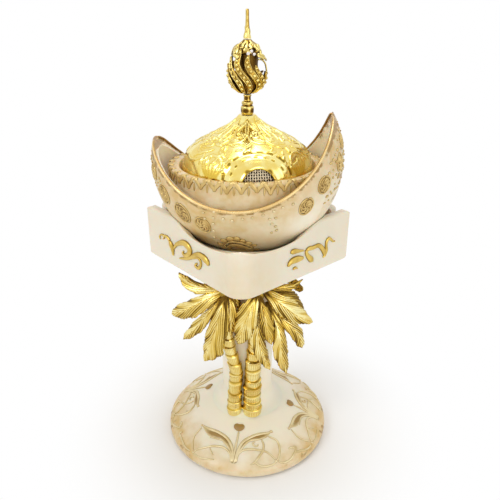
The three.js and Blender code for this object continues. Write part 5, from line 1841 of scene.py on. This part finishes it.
def dome_body():
    """The dome: one thin embossed shell with round windows."""
    run = np.linspace(0, DOME_RUN[-1], 150)
    outside = list(zip(np.interp(run, DOME_RUN, DOME_LINE[:, 0]), np.interp(run, DOME_RUN, DOME_LINE[:, 1])))
    inner_line, _ = dome_outline(24)
    tangent = np.gradient(inner_line, axis=0)
    tangent = unit(tangent)
    inside = [
        (max(NECK_HOLE, p[0] - DOME_WALL * t[1]), p[1] + DOME_WALL * t[0])
        for p, t in zip(inner_line, tangent)
    ]
    inside[0] = (inside[0][0], SHELL_BOTTOM)
    inside = [p for p in inside[:-1] if p[1] < SHELL_TOP - 1.25] + [(NECK_HOLE, SHELL_TOP - 1.3)]
    bm = new_mesh()
    profile = outside + [(NECK_HOLE, SHELL_TOP)] + inside[::-1]
    add_spun(bm, profile, 480)
    obj = finish(bm, "dome_embossed", 60)
    points = vertices_of(obj)
    turn, radius = turn_and_reach(points)
    azimuth = np.degrees(turn)
    line_tree = point_tree([(r, z, 0) for r, z in DOME_LINE])
    found = [line_tree.find((r, z, 0)) for r, z in zip(radius, points[:, 2])]
    away = np.array([f[2] for f in found])
    place = np.array([DOME_RUN[f[1]] for f in found])
    outer = away < 0.35
    height = np.zeros(len(points))
    groove = np.zeros(len(points))
    relief = sizes().dome_relief / MM
    height[outer], groove[outer] = dome_heights(azimuth[outer], place[outer])
    slope = np.gradient(DOME_LINE, axis=0)
    slope = unit(slope)
    out_r = slope[[f[1] for f in found], 1]
    out_z = -slope[[f[1] for f in found], 0]
    # The relief is pressed both ways about the plain wall, so the dome keeps its measured width
    lift = (height - 0.4) * relief * ease(0.5, 2.0, place) * (1 - ease(57.5, 59, place))
    lift = np.where(outer, np.minimum(lift, 0.6), 0)
    radius_new = radius + lift * out_r
    move_vertices(obj, round_axis(np.radians(azimuth), radius_new, points[:, 2] + lift * out_z))
    write_masks(obj, groove=np.where(outer, groove, 0.6))
    cutters = []
    for window in WINDOW_AZIMUTHS:
        bm = cylinder(WINDOW_RADIUS, 30, 72)
        bmesh.ops.transform(bm, matrix=Matrix.Rotation(math.pi / 2, 4, "X"), verts=bm.verts)
        bmesh.ops.translate(bm, vec=(0, -40, WINDOW_Z), verts=bm.verts)
        swung = Matrix.Rotation(math.radians(window), 3, "Z")
        bmesh.ops.rotate(bm, verts=bm.verts, cent=(0, 0, 0), matrix=swung)
        cutters.append(finish(bm, "window_cutter"))
    cut_away(obj, *cutters)
    return obj


# The woven wire's distance from the axis, and its share of that at heights up the dome
MESH_REACH = 39.0
MESH_HEIGHTS = [193, 200, 207, 214, 220]
MESH_SHARES = [1, 0.995, 0.972, 0.915, 0.83]


def window_mesh():
    """Woven wire behind each window."""
    bm = new_mesh()
    wire, pitch = 0.4, 1.55
    reach = WINDOW_RADIUS + 0.9
    lines = int(reach / pitch)
    for window in WINDOW_AZIMUTHS:
        for way in (0, 1):
            for number in range(-lines, lines + 1):
                offset = number * pitch
                half = math.sqrt(max(0.0, reach**2 - offset**2))
                count = max(6, int(half * 3))
                t = np.linspace(-half, half, count)
                x, z = (t, np.full(count, offset)) if way == 0 else (np.full(count, offset), t)
                turn = math.radians(window) + x / 39.4
                weave = 0.2 * np.sin(t / pitch * math.pi + number * math.pi) * (1 if way else -1)
                height = WINDOW_Z + z
                depth = (MESH_REACH + weave) * np.interp(height, MESH_HEIGHTS, MESH_SHARES)
                points = round_axis(turn, depth, height)
                normals = round_axis(turn, 1.0, 0.0)
                thick = np.full(count, wire)
                add_ridge(bm, points, normals, thick, thick, sides=5, sunk=wire)
    return finish(bm, "window_mesh", 80)


def ring_body():
    """The plain ring under the dome, with rounded edges."""
    bm = new_mesh()
    outer = high("dome_base_ring", "x")
    inner = 38.2
    soft = 0.7
    add_spun(bm, [
        (inner, RING_BOTTOM), (outer - soft, RING_BOTTOM), (outer - 0.15, RING_BOTTOM + 0.4),
        (outer, (RING_BOTTOM + RING_TOP) / 2), (outer - 0.15, RING_TOP - 0.4), (outer - soft, RING_TOP),
        (inner, RING_TOP),
    ], 192)
    return finish(bm, "dome_foot_ring")


# The finial


def spool_body():
    """The turned spool under the bud: a broad ring, a disc and a narrow neck."""
    bm = new_mesh()
    bottom, top = low("finial_spool"), high("finial_spool")
    widest = high("finial_spool", "x")
    line = smooth_line([
        (widest - 0.5, bottom), (widest - 0.1, bottom + 1.0), (widest, bottom + 2.4), (widest, bottom + 4.0),
        (widest - 0.4, bottom + 4.8), (2.9, bottom + 5.2), (3.3, bottom + 5.7), (3.4, bottom + 6.6),
        (3.2, bottom + 7.3),
        (2.3, bottom + 7.8), (2.1, bottom + 8.6), (2.1, top - 1.2), (2.5, top - 0.3), (2.4, top),
    ], 60)
    line[:, 0] = np.minimum(line[:, 0], widest)
    line[:, 1] = np.clip(line[:, 1], bottom, top)
    profile = [(0, bottom), *[tuple(p) for p in line], (0, top)]
    add_spun(bm, profile, 64, closed=False)
    obj = finish(bm, "finial_neck", 50)
    points = vertices_of(obj)
    up = points[:, 2] - bottom
    azimuth, _ = turn_and_reach(points)
    # Painted reflections: dark bands round the spool, streaked round its turn, for reflected dark
    # surroundings
    bands = peak(up, 2.3, 1.1) + peak(up, 5.2, 0.4) + peak(up, 9.3, 1.1)
    streaks = 0.75 + 0.45 * np.cos(azimuth * 5 + 0.9)
    write_masks(obj, groove=1.5 * bands * streaks)
    return obj


# The bud's outline: height over its bottom and how far the petals stand out, then its core, painted dark as
# the shade between the petals
BUD_OUTLINE = np.array([
    [0, 2.6], [0.9, 4.4], [2.2, 6.8], [4.0, 8.9], [6.5, 10.5], [10, 11.5], [13.5, 11.6], [17, 11.1],
    [20, 10.2],
    [23, 9.2], [26, 7.6], [28.2, 5.0], [29.6, 2.6],
])
CORE_OUTLINE = np.array([
    [0, 2.0], [1.0, 3.6], [2.6, 6.0], [5, 8.2], [8, 9.2], [10.5, 8.8], [12.5, 7.6], [15.5, 6.2], [20, 6.4],
    [22.5, 6.6], [25, 4.9],
    [27, 3.4], [29.9, 2.3],
])
# Each petal: degrees of its middle, height of its tip over the bud's bottom, and widest half width
BUD_PETALS = [
    (-78, 17.0, 1.9), (-38, 21.5, 2.05), (-7, 25.3, 2.1), (27, 22.6, 2.0), (50, 17.0, 1.7), (78, 13.5, 1.9),
    (108, 12.0, 1.8),
    (140, 12.5, 1.9), (178, 20.0, 2.0), (-142, 19.0, 2.0), (-109, 18.0, 1.9),
]


def bud_reach(up):
    """How far the petals stand out from the axis at a height over the bud's bottom."""
    return np.interp(up, BUD_OUTLINE[:, 0], BUD_OUTLINE[:, 1])


def bud_body():
    """The core inside the petals, painted dark as the shade between them."""
    bm = new_mesh()
    bottom, top = low("finial_bud"), high("finial_bud")
    line = smooth_line([(r, bottom + z) for z, r in CORE_OUTLINE], 48)
    line[:, 1] = np.clip(line[:, 1], bottom, top)
    add_spun(bm, [(0, bottom), *[tuple(p) for p in line], (0, top)], 64, closed=False)
    obj = finish(bm, "finial_bud_core", 60)
    # Painted shade: the core is coloured nearly all with the darkest gilding
    write_masks(obj, groove=0.9 + 0.1 * patchy(vertices_of(obj), 2.5, 61))
    return obj


def petal_points(middle, shift, up, grow=0.0):
    """Points and normals along a petal: degrees, millimetres sideways, heights over the bud's bottom."""
    bottom = low("finial_bud")
    reach = bud_reach(up) + grow
    share = np.clip(up / 22, 0, 1.1)
    swing = 17 - 36 * ease(0, 1, share) + 8 * np.sin(share * FULL_TURN)
    turn = np.radians(middle + swing) + shift / np.maximum(reach, 3)
    points = round_axis(turn, reach, bottom + up)
    fall = (bud_reach(up - 0.7) - bud_reach(up + 0.7)) / 1.4
    normals = round_axis(turn, 1.0, fall)
    return points, unit(normals)


def finial_petals():
    """The bud's petals: twisted strips with thin rails, a row of beads each, and tips that curl out."""
    bm = new_mesh()
    for middle, tip, half in BUD_PETALS:
        count = 44
        share = np.linspace(0, 1, count)
        up = 0.6 + (tip - 0.6) * share
        curl = 0.9 * ease(0.82, 1.0, share)
        width = half * np.interp(share, [0, 0.12, 0.35, 0.62, 0.85, 1], [0.3, 0.55, 0.95, 1.0, 0.66, 0.12])
        points, normals = petal_points(middle, 0 * up, up, curl - 0.75)
        add_ridge(bm, points, normals, width, np.full(count, 0.5), sides=16, sunk=0.9, tone=0.5)
        for side in (-1, 1):
            points, normals = petal_points(middle, side * width * 0.86, up, curl - 0.5)
            rail = 0.36 * tapered(count, 0.7, 1.0, 0.6)
            add_ridge(bm, points, normals, rail, np.full(count, 0.5), sides=8)
        travelled = np.linspace(1.6, tip - 1.8, max(4, int(tip / 2.3)))
        points, normals = petal_points(middle, 0 * travelled, travelled, 0.0)
        sizes_here = np.interp(travelled / tip, [0, 0.25, 0.6, 1], [0.6, 1.0, 1.08, 0.7])
        for spot, normal, size in zip(points, normals, sizes_here):
            add_knob(bm, spot - normal * 0.2, normal, size, size)
    add_top_leaves(bm)
    return finish(bm, "finial_petal_rows", 60)


# The crumpled leaves over the bud: height over the bud's bottom and reach from the axis
CROWN_OUTLINE = np.array([[21.6, 3.5], [21.9, 6.4], [22.8, 7.9], [24.4, 7.9], [26.2, 6.6], [27.8, 4.6],
                          [29.0, 3.1], [29.9, 2.3]])


def add_top_leaves(bm):
    """Adds the crumpled leaves at the bud's top, a smooth leaf at the left and a thin hoop at the right."""
    bottom = low("finial_bud")
    rows = len(CROWN_OUTLINE) * 5
    line = smooth_line(CROWN_OUTLINE[:, ::-1], rows + 1)

    def shape(over, run):
        row = np.clip(np.rint(run * rows).astype(int), 0, rows)
        turn = over * FULL_TURN
        up = line[row, 1]
        fold = np.sin(turn * 6 + up * 0.55) + 0.55 * np.sin(turn * 11 - up * 0.9 + 1.0)
        closing = np.where(row == 0, 0.0, 1.0)
        reach = (line[row, 0] + 0.42 * fold * ease(0, 0.2, run) * ease(1.0, 0.75, run)) * closing
        points = round_axis(turn, reach, bottom + up)
        return points, {"groove": np.clip(0.42 - 0.42 * fold, 0, 1), "rub": np.clip(fold, 0, 1)}

    add_form(bm, 96, rows, shape)
    for azimuth, up, wide, tall, turn in (
        (-52, 24.4, 2.7, 3.9, 0.25), (-100, 24.0, 2.6, 3.4, 0.1), (64, 25.6, 1.9, 2.6, -0.5),
        (150, 24.6, 2.4, 3.2, 0.0),
        (-160, 24.6, 2.4, 3.2, 0.0),
    ):
        reach = bud_reach(up) - 0.9
        angle = math.radians(azimuth)
        normal = Vector((math.sin(angle), -math.cos(angle), 0.45)).normalized()
        spot = Vector((reach * math.sin(angle), -reach * math.cos(angle), bottom + up))
        add_knob(bm, spot, normal, tall, 1.1, wide / tall, turn)
    for start, end, low_up, high_up, half in (
        (60, 44, 19.5, 23.0, 0.9), (72, 56, 20.0, 24.0, 0.8), (86, 72, 18.6, 21.6, 0.8),
        (36, 48, 24.5, 27.6, 0.7),
        (8, 30, 25.2, 28.2, 0.8), (-30, -6, 25.5, 28.6, 0.8), (-60, -30, 25.0, 28.4, 0.6),
        (-34, -46, 20.0, 23.6, 0.9),
    ):
        share = np.linspace(0, 1, 16)
        up = low_up + (high_up - low_up) * share
        turn = np.radians(start + (end - start) * share + 7 * np.sin(share * 7))
        reach = bud_reach(up) + 0.2
        points = round_axis(turn, reach, bottom + up)
        normals = round_axis(turn, 1.0, 0.4)
        normals = unit(normals)
        add_ridge(bm, points, normals, half * tapered(16, 0.5, 1.1, 0.4), np.full(16, 0.6), sides=8)
    hoop = smooth_line([(6.4, -5.0, 19.6), (8.6, -3.4, 19.3), (10.4, -2.2, 17.2), (11.2, -1.6, 13.2),
                        (11.0, -1.4, 10.4),
                        (9.9, -1.8, 8.2)], 30)
    normals = np.stack([hoop[:, 0], hoop[:, 1], 0 * hoop[:, 0]], axis=1)
    normals = unit(normals)
    hoop[:, 2] += bottom
    add_ridge(bm, hoop, normals, 0.55 * tapered(30, 0.7, 1.0, 0.9), np.full(30, 0.5), sides=8, sunk=0.5)


def finial_stones():
    """Three small clear stones near the bud's top."""
    bm = new_mesh()
    bottom = low("finial_bud")
    for x, up, size in ((1.1, 23.0, 1.15), (2.9, 24.2, 1.0), (4.4, 22.6, 0.95)):
        reach = bud_reach(up) + 0.2
        angle = math.asin(x / reach)
        made = bmesh.ops.create_icosphere(bm, subdivisions=1, radius=size)["verts"]
        bmesh.ops.translate(bm, vec=(x, -reach * math.cos(angle), bottom + up), verts=made)
    return finish(bm, "finial_stones", 20)


def spike_body():
    """The blunt spike at the top, three strands twisted about its foot."""
    bm = new_mesh()
    bottom, top = low("finial_spike"), high("finial_spike")
    widest = high("finial_spike", "x")
    line = smooth_line([
        (widest - 0.1, bottom), (2.1, bottom + 1.0), (1.75, bottom + 2.6), (1.4, bottom + 4.6),
        (1.15, bottom + 7.2),
        (1.0, bottom + 10.5), (0.95, top - 0.9), (0.75, top - 0.25), (0.3, top - 0.02),
    ], 40)
    line[:, 0] = np.minimum(line[:, 0], widest)
    line[:, 1] = np.clip(line[:, 1], bottom, top)
    add_spun(bm, [(0, bottom), *[tuple(p) for p in line], (0, top)], 40, closed=False)
    for strand in range(3):
        up = np.linspace(0.1, 6.5, 26)
        turn = strand / 3 * FULL_TURN + up * 0.42
        reach = np.interp(up, [0, 1.0, 2.6, 4.6, 7.2], [2.1, 1.95, 1.65, 1.35, 1.1]) - 0.05
        points = round_axis(turn, reach, bottom + up)
        normals = round_axis(turn, 1.0, 0.0)
        add_ridge(bm, points, normals, 0.55 * tapered(26, 1.0, 1.0, 0.4), np.full(26, 0.4), sides=8)
    obj = finish(bm, "finial_point", 50)
    points = vertices_of(obj)
    azimuth, radius = turn_and_reach(points)
    plain = radius < 1.3
    # Painted shade: the thin shaft darker on its right and back, away from the key light
    shade = 0.42 + 0.4 * np.cos(azimuth - 1.9) + 0.2 * patchy(points, 1.6, 63)
    old = np.zeros(len(points), np.float32)
    obj.data.attributes["groove"].data.foreach_get("value", old)
    write_masks(obj, groove=np.where(plain, shade, np.maximum(old, 0.1)))
    return obj


# Hearth and hidden hardware


def cup_body():
    """The spun steel cup for the charcoal."""
    bm = new_mesh()
    bottom, top = low("charcoal_cup"), high("charcoal_cup")
    flange = high("charcoal_cup", "x")
    floor, mouth, wall = 18.0, 25.0, 0.9
    outside = [(0, bottom), (floor - 1.4, bottom), (floor, bottom + 0.8), (mouth, top - 1.6),
               (mouth + 0.9, top - wall),
               (flange - 0.4, top - wall)]
    rim = [(flange, top - wall / 2), (flange - 0.4, top)]
    inside = [(mouth, top), (mouth - wall, top - 1.2), (floor - wall, bottom + 1.6),
              (floor - 2.6, bottom + wall), (0, bottom + wall)]
    add_spun(bm, outside + rim + inside, 96, closed=False)
    return finish(bm, "charcoal_pan", 50)


def carry(node, finish_name):
    """Gives a CAD node that stays as it is a finish."""
    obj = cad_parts[node]
    obj.data.materials.clear()
    obj.data.materials.append(finish_material(finish_name))


# Stage


# Each lamp: place, side in metres, watts, and the place that it points at
LAMPS = [
    ("key_light", (-0.62, -0.6, 0.78), 0.4, 2.6, (0, 0, 0.16)),
    ("fill_light", (0.6, -0.8, 0.26), 0.8, 2.7, (0, 0, 0.16)),
    ("top_light", (0.05, 0.15, 1.1), 0.5, 2.7, (0, 0, 0.1)),
]
ROOM_COLOUR = (1, 0.985, 0.96, 1)
ROOM_STRENGTH = 0.64
# The floor turns white between these distances from its middle, in metres
FLOOR_FADE = (0.064, 0.15)


def studio():
    """The pale floor and the soft studio light."""
    scene = bpy.context.scene
    scene.view_settings.view_transform = "Standard"
    world = bpy.data.worlds.new("studio")
    scene.world = world
    world.use_nodes = True
    tree = world.node_tree
    plain = tree.nodes["Background"]
    plain.inputs["Color"].default_value = ROOM_COLOUR
    plain.inputs["Strength"].default_value = ROOM_STRENGTH
    bright = tree.nodes.new("ShaderNodeBackground")
    bright.inputs["Color"].default_value = (1, 1, 1, 1)
    bright.inputs["Strength"].default_value = 1.0
    path = tree.nodes.new("ShaderNodeLightPath").outputs
    seen = maths(tree, "MAXIMUM", path["Is Camera Ray"], path["Is Transmission Ray"])
    mixed = tree.nodes.new("ShaderNodeMixShader")
    link(tree, maths(tree, "MAXIMUM", seen, path["Is Glossy Ray"]), mixed.inputs["Fac"])
    link(tree, plain.outputs[0], mixed.inputs[1])
    link(tree, bright.outputs[0], mixed.inputs[2])
    link(tree, mixed.outputs[0], tree.nodes["World Output"].inputs["Surface"])
    for name, spot, wide, power, aim in LAMPS:
        lamp = bpy.data.lights.new(name, "AREA")
        lamp.shape = "SQUARE"
        lamp.size = wide
        lamp.energy = power
        obj = bpy.data.objects.new(name, lamp)
        obj.location = spot
        obj.rotation_euler = (Vector(aim) - Vector(spot)).to_track_quat("-Z", "Y").to_euler()
        scene.collection.objects.link(obj)


def floor():
    """A wide pale floor that turns to plain white away from the foot."""
    bm = bmesh.new()
    bmesh.ops.create_grid(bm, x_segments=4, y_segments=4, size=4.0)
    mesh = bpy.data.meshes.new("floor")
    bm.to_mesh(mesh)
    bm.free()
    obj = bpy.data.objects.new("floor", mesh)
    bpy.context.scene.collection.objects.link(obj)
    material = bpy.data.materials.new("studio_floor")
    material.use_nodes = True
    tree = material.node_tree
    shader = tree.nodes["Principled BSDF"]
    shader.inputs["Base Color"].default_value = (0.95, 0.95, 0.95, 1)
    shader.inputs["Roughness"].default_value = 0.9
    shader.inputs["Specular IOR Level"].default_value = 0.1
    white = tree.nodes.new("ShaderNodeEmission")
    white.inputs["Color"].default_value = (1, 1, 1, 1)
    place = tree.nodes.new("ShaderNodeTexCoord").outputs["Object"]
    length = tree.nodes.new("ShaderNodeVectorMath")
    length.operation = "LENGTH"
    link(tree, place, length.inputs[0])
    far = stepped(tree, length.outputs["Value"], *FLOOR_FADE)
    path = tree.nodes.new("ShaderNodeLightPath")
    share = maths(tree, "MULTIPLY", far, path.outputs["Is Camera Ray"])
    mixed = tree.nodes.new("ShaderNodeMixShader")
    link(tree, share, mixed.inputs["Fac"])
    link(tree, shader.outputs[0], mixed.inputs[1])
    link(tree, white.outputs[0], mixed.inputs[2])
    link(tree, mixed.outputs[0], tree.nodes["Material Output"].inputs["Surface"])
    mesh.materials.append(material)


class BurnerSizes(bpy.types.PropertyGroup):
    """Sizes of the burner's relief."""

    foot_relief: bpy.props.FloatProperty(
        name="Foot relief", description="Height of the foot's scrolls", default=0.0007, min=0.0, max=0.002,
        unit="LENGTH",
    )
    scroll_relief: bpy.props.FloatProperty(
        name="Board relief", description="Height of the boards' scrolls", default=0.0015, min=0.0, max=0.003,
        unit="LENGTH",
    )
    dome_relief: bpy.props.FloatProperty(
        name="Dome relief", description="Depth of the dome's embossing per millimetre", default=0.00075,
        min=0.0,
        max=0.002, unit="LENGTH",
    )


def paint(name, description, default):
    """A colour property."""
    return bpy.props.FloatVectorProperty(
        name=name, description=description, subtype="COLOR", size=3, min=0.0, max=1.0, default=default
    )


class BurnerColours(bpy.types.PropertyGroup):
    """Colours of the burner's finishes."""

    palm_gold: paint("Palm gold", "Bright gilding of the palms", (1.0, 0.9, 0.44))
    # Also the colour of the painted shade on the palms' leaf halves
    palm_deep: paint("Palm shade", "Deeper gilding of the palms", (0.74, 0.5, 0.08))
    # Also the colour of painted shade in the palms and the bud's core, and of painted dark reflections on
    # the spool
    groove_and_shade_brown: paint("Groove brown", "Dark colour in the grooves of the gilding", (0.12, 0.058, 0.009))
    scroll_gold: paint("Scroll gold", "Gilding of the boards' scrolls", (0.78, 0.56, 0.14))
    scroll_deep: paint("Scroll shade", "Deeper gilding of the boards' scrolls", (0.48, 0.3, 0.045))
    dome_gold: paint("Dome gold", "Bright metal of the dome", (0.93, 0.82, 0.33))
    # Also the deeper gold of the painted collar reflection low on the dome
    dome_deep: paint("Dome shade", "Deeper metal of the dome", (0.84, 0.58, 0.08))
    dome_groove: paint("Dome groove", "Colour in the dome's grooves", (0.09, 0.045, 0.006))
    finial_gold: paint("Finial gold", "Bright gilding of the finial", (0.86, 0.72, 0.26))
    finial_deep: paint("Finial shade", "Deeper gilding of the finial", (0.5, 0.31, 0.05))
    # Also shows as painted light low on the bowl's front
    pale: paint("Pale", "Resin of the foot, column and bowl", (0.91, 0.84, 0.68))
    ivory: paint("Ivory", "Pale resin", (0.83, 0.77, 0.63))
    ivory_shade: paint("Ivory shade", "Shade in the pale resin", (0.75, 0.62, 0.4))
    rub: paint("Rub", "Brown gold rubbed on high places", (0.36, 0.21, 0.045))
    # Also the colour of painted shade on the column's front behind the palms
    amber: paint("Amber", "Amber wash on foot, bowl and collar", (0.66, 0.45, 0.16))
    rim_gold: paint("Rim gold", "Amber gold along the rim", (0.9, 0.69, 0.33))
    rim_deep: paint("Rim shade", "Deeper amber along the rim", (0.66, 0.4, 0.11))
    ornament_gold: paint("Ornament gold", "Brown gold of the bowl's ornament", (0.72, 0.53, 0.21))
    ornament_deep: paint("Ornament shade", "Deeper gold of the bowl's ornament", (0.45, 0.28, 0.07))
    line_gold: paint("Line gold", "Pale gold on the raised lines", (0.78, 0.66, 0.4))
    line_deep: paint("Line shade", "Deeper gold on the raised lines", (0.55, 0.4, 0.15))


# Operators


# The camera that was fitted to the photograph
CAMERA_LENS = 38.21
CAMERA_SHIFT = (0.0052, 0.0216)
CAMERA_PLACE = (0.0212, -0.3250, 0.2945)
CAMERA_TURN = Euler((math.radians(64.5), 0.0, 0.065))


class BURNER_OT_camera(bpy.types.Operator):
    """Set up the camera"""

    bl_idname = "burner.camera"
    bl_label = "Camera"

    def execute(self, context):
        data = bpy.data.cameras.new("photo_camera")
        data.sensor_width = 36
        data.lens = CAMERA_LENS
        data.shift_x, data.shift_y = CAMERA_SHIFT
        obj = bpy.data.objects.new("photo_camera", data)
        obj.location = CAMERA_PLACE
        obj.rotation_euler = CAMERA_TURN
        context.scene.collection.objects.link(obj)
        context.scene.camera = obj
        return {"FINISHED"}


class BURNER_OT_stage(bpy.types.Operator):
    """Build the floor and the studio light"""

    bl_idname = "burner.stage"
    bl_label = "Stage"

    def execute(self, context):
        floor()
        studio()
        return {"FINISHED"}


class BURNER_OT_foot(bpy.types.Operator):
    """Build the round foot, its ornament and the felt"""

    bl_idname = "burner.foot"
    bl_label = "Foot"

    def execute(self, context):
        dress(foot_body(), "amber_washed_resin", "stand", "ivory_resin", "base_disc")
        dress(foot_scrolls(), "rubbed_line_gold", "stand", "ivory_resin")
        dress(foot_leaves(), "amber_washed_resin", "stand", "ivory_resin")
        dress(felt_disc(), "foot_felt", "stand", "felt", "felt_pad")
        return {"FINISHED"}


class BURNER_OT_column(bpy.types.Operator):
    """Build the column"""

    bl_idname = "burner.column"
    bl_label = "Column"

    def execute(self, context):
        dress(column_body(), "amber_washed_resin", "stand", "ivory_resin", "column")
        return {"FINISHED"}


class BURNER_OT_palms(bpy.types.Operator):
    """Build the palms' trunks and leaves"""

    bl_idname = "burner.palms"
    bl_label = "Palms"

    def execute(self, context):
        for back, place in ((False, "front"), (True, "back")):
            for side in ("left", "right"):
                dress(trunk(side, back), "palm_gilding", "stand", "antique_gold", f"{place}_{side}_trunk")
                dress(crown_of_leaves(side, back), "palm_gilding", "stand", "antique_gold",
                      f"{place}_{side}_fronds")
        return {"FINISHED"}


class BURNER_OT_capital(bpy.types.Operator):
    """Build the capital, its boards and scrolls"""

    bl_idname = "burner.capital"
    bl_label = "Capital"

    def execute(self, context):
        dress(capital_block(), "plain_ivory_resin", "stand", "ivory_resin", "capital_core")
        dress(board_pair(False), "plain_ivory_resin", "stand", "ivory_resin", "front_panels")
        dress(board_pair(True), "plain_ivory_resin", "stand", "ivory_resin", "back_panels")
        for back in (False, True):
            dress(board_scrolls(back), "scroll_gilding", "stand", "antique_gold")
        return {"FINISHED"}


class BURNER_OT_bowl(bpy.types.Operator):
    """Build the crescent bowl, its rim, ornament and collar"""

    bl_idname = "burner.bowl"
    bl_label = "Bowl"

    def execute(self, context):
        dress(bowl_body(), "amber_washed_resin", "stand", "amber_resin", "crescent_bowl")
        dress(rim_beads(), "rim_amber_gold", "stand", "amber_resin")
        dress(bowl_ornament(), "ornament_gilding", "stand", "amber_resin")
        dress(bowl_pearls(), "rubbed_line_gold", "stand", "amber_resin")
        dress(collar_body(), "amber_washed_resin", "stand", "amber_resin", "seat_collar")
        dress(collar_leaves(), "ornament_gilding", "stand", "amber_resin")
        return {"FINISHED"}


class BURNER_OT_hearth(bpy.types.Operator):
    """Build the charcoal cup and finish the pad and the hidden hardware"""

    bl_idname = "burner.hearth"
    bl_label = "Hearth and hardware"

    def execute(self, context):
        dress(cup_body(), "plated_steel", "charcoal_cup", "steel", "charcoal_cup")
        carry("heat_pad", "insulating_board")
        for node in ("tie_rod", "base_washer", "base_nut", "bowl_washer", "bowl_nut", "finial_screw",
                     "finial_washer"):
            carry(node, "plated_steel")
        return {"FINISHED"}


class BURNER_OT_dome(bpy.types.Operator):
    """Build the embossed dome, its ring and the mesh"""

    bl_idname = "burner.dome"
    bl_label = "Dome"

    def execute(self, context):
        dress(dome_body(), "dome_gilding", "dome", "dome_gold", "dome_shell")
        dress(ring_body(), "dome_gilding", "dome", "dome_gold", "dome_base_ring")
        dress(window_mesh(), "mesh_wire", "dome", "mesh_metal", "mesh_liner")
        return {"FINISHED"}


class BURNER_OT_finial(bpy.types.Operator):
    """Build the finial"""

    bl_idname = "burner.finial"
    bl_label = "Finial"

    def execute(self, context):
        dress(spool_body(), "finial_gilding", "dome", "dome_gold", "finial_spool")
        dress(bud_body(), "finial_gilding", "dome", "finial_gold", "finial_bud")
        dress(finial_petals(), "finial_gilding", "dome", "finial_gold", "finial_petals")
        dress(finial_stones(), "clear_stone", "dome", "finial_gold")
        dress(spike_body(), "finial_gilding", "dome", "finial_gold", "finial_spike")
        return {"FINISHED"}


PIECE_OPERATORS = (
    BURNER_OT_camera, BURNER_OT_stage, BURNER_OT_foot, BURNER_OT_column, BURNER_OT_palms, BURNER_OT_capital,
    BURNER_OT_bowl, BURNER_OT_hearth, BURNER_OT_dome, BURNER_OT_finial,
)


class BURNER_PT_panel(bpy.types.Panel):
    """Lists the burner's sizes, colours and pieces in the sidebar"""

    bl_idname = "BURNER_PT_panel"
    bl_label = "Incense burner"
    bl_space_type = "VIEW_3D"
    bl_region_type = "UI"
    bl_category = "Burner"

    def draw(self, context):
        for group in (context.scene.burner_sizes, context.scene.burner_colours):
            box = self.layout.box()
            for name in type(group).__annotations__:
                box.prop(group, name)
        for piece in PIECE_OPERATORS:
            self.layout.operator(piece.bl_idname)


CLASSES = (BurnerSizes, BurnerColours, *PIECE_OPERATORS, BURNER_PT_panel)


def register():
    """Registers the add-on's classes and its properties."""
    for cls in CLASSES:
        bpy.utils.register_class(cls)
    bpy.types.Scene.burner_sizes = bpy.props.PointerProperty(type=BurnerSizes)
    bpy.types.Scene.burner_colours = bpy.props.PointerProperty(type=BurnerColours)


def unregister():
    """Takes the add-on's properties and classes away again."""
    del bpy.types.Scene.burner_colours
    del bpy.types.Scene.burner_sizes
    for cls in reversed(CLASSES):
        bpy.utils.unregister_class(cls)


def main():
    """Builds the whole burner."""
    register()
    gilding_group()
    resin_group()
    plain_group()
    bpy.ops.burner.camera()
    bpy.ops.burner.stage()
    bpy.ops.burner.foot()
    bpy.ops.burner.column()
    bpy.ops.burner.palms()
    bpy.ops.burner.capital()
    bpy.ops.burner.bowl()
    bpy.ops.burner.hearth()
    bpy.ops.burner.dome()
    bpy.ops.burner.finial()


if __name__ == "__main__":
    main()
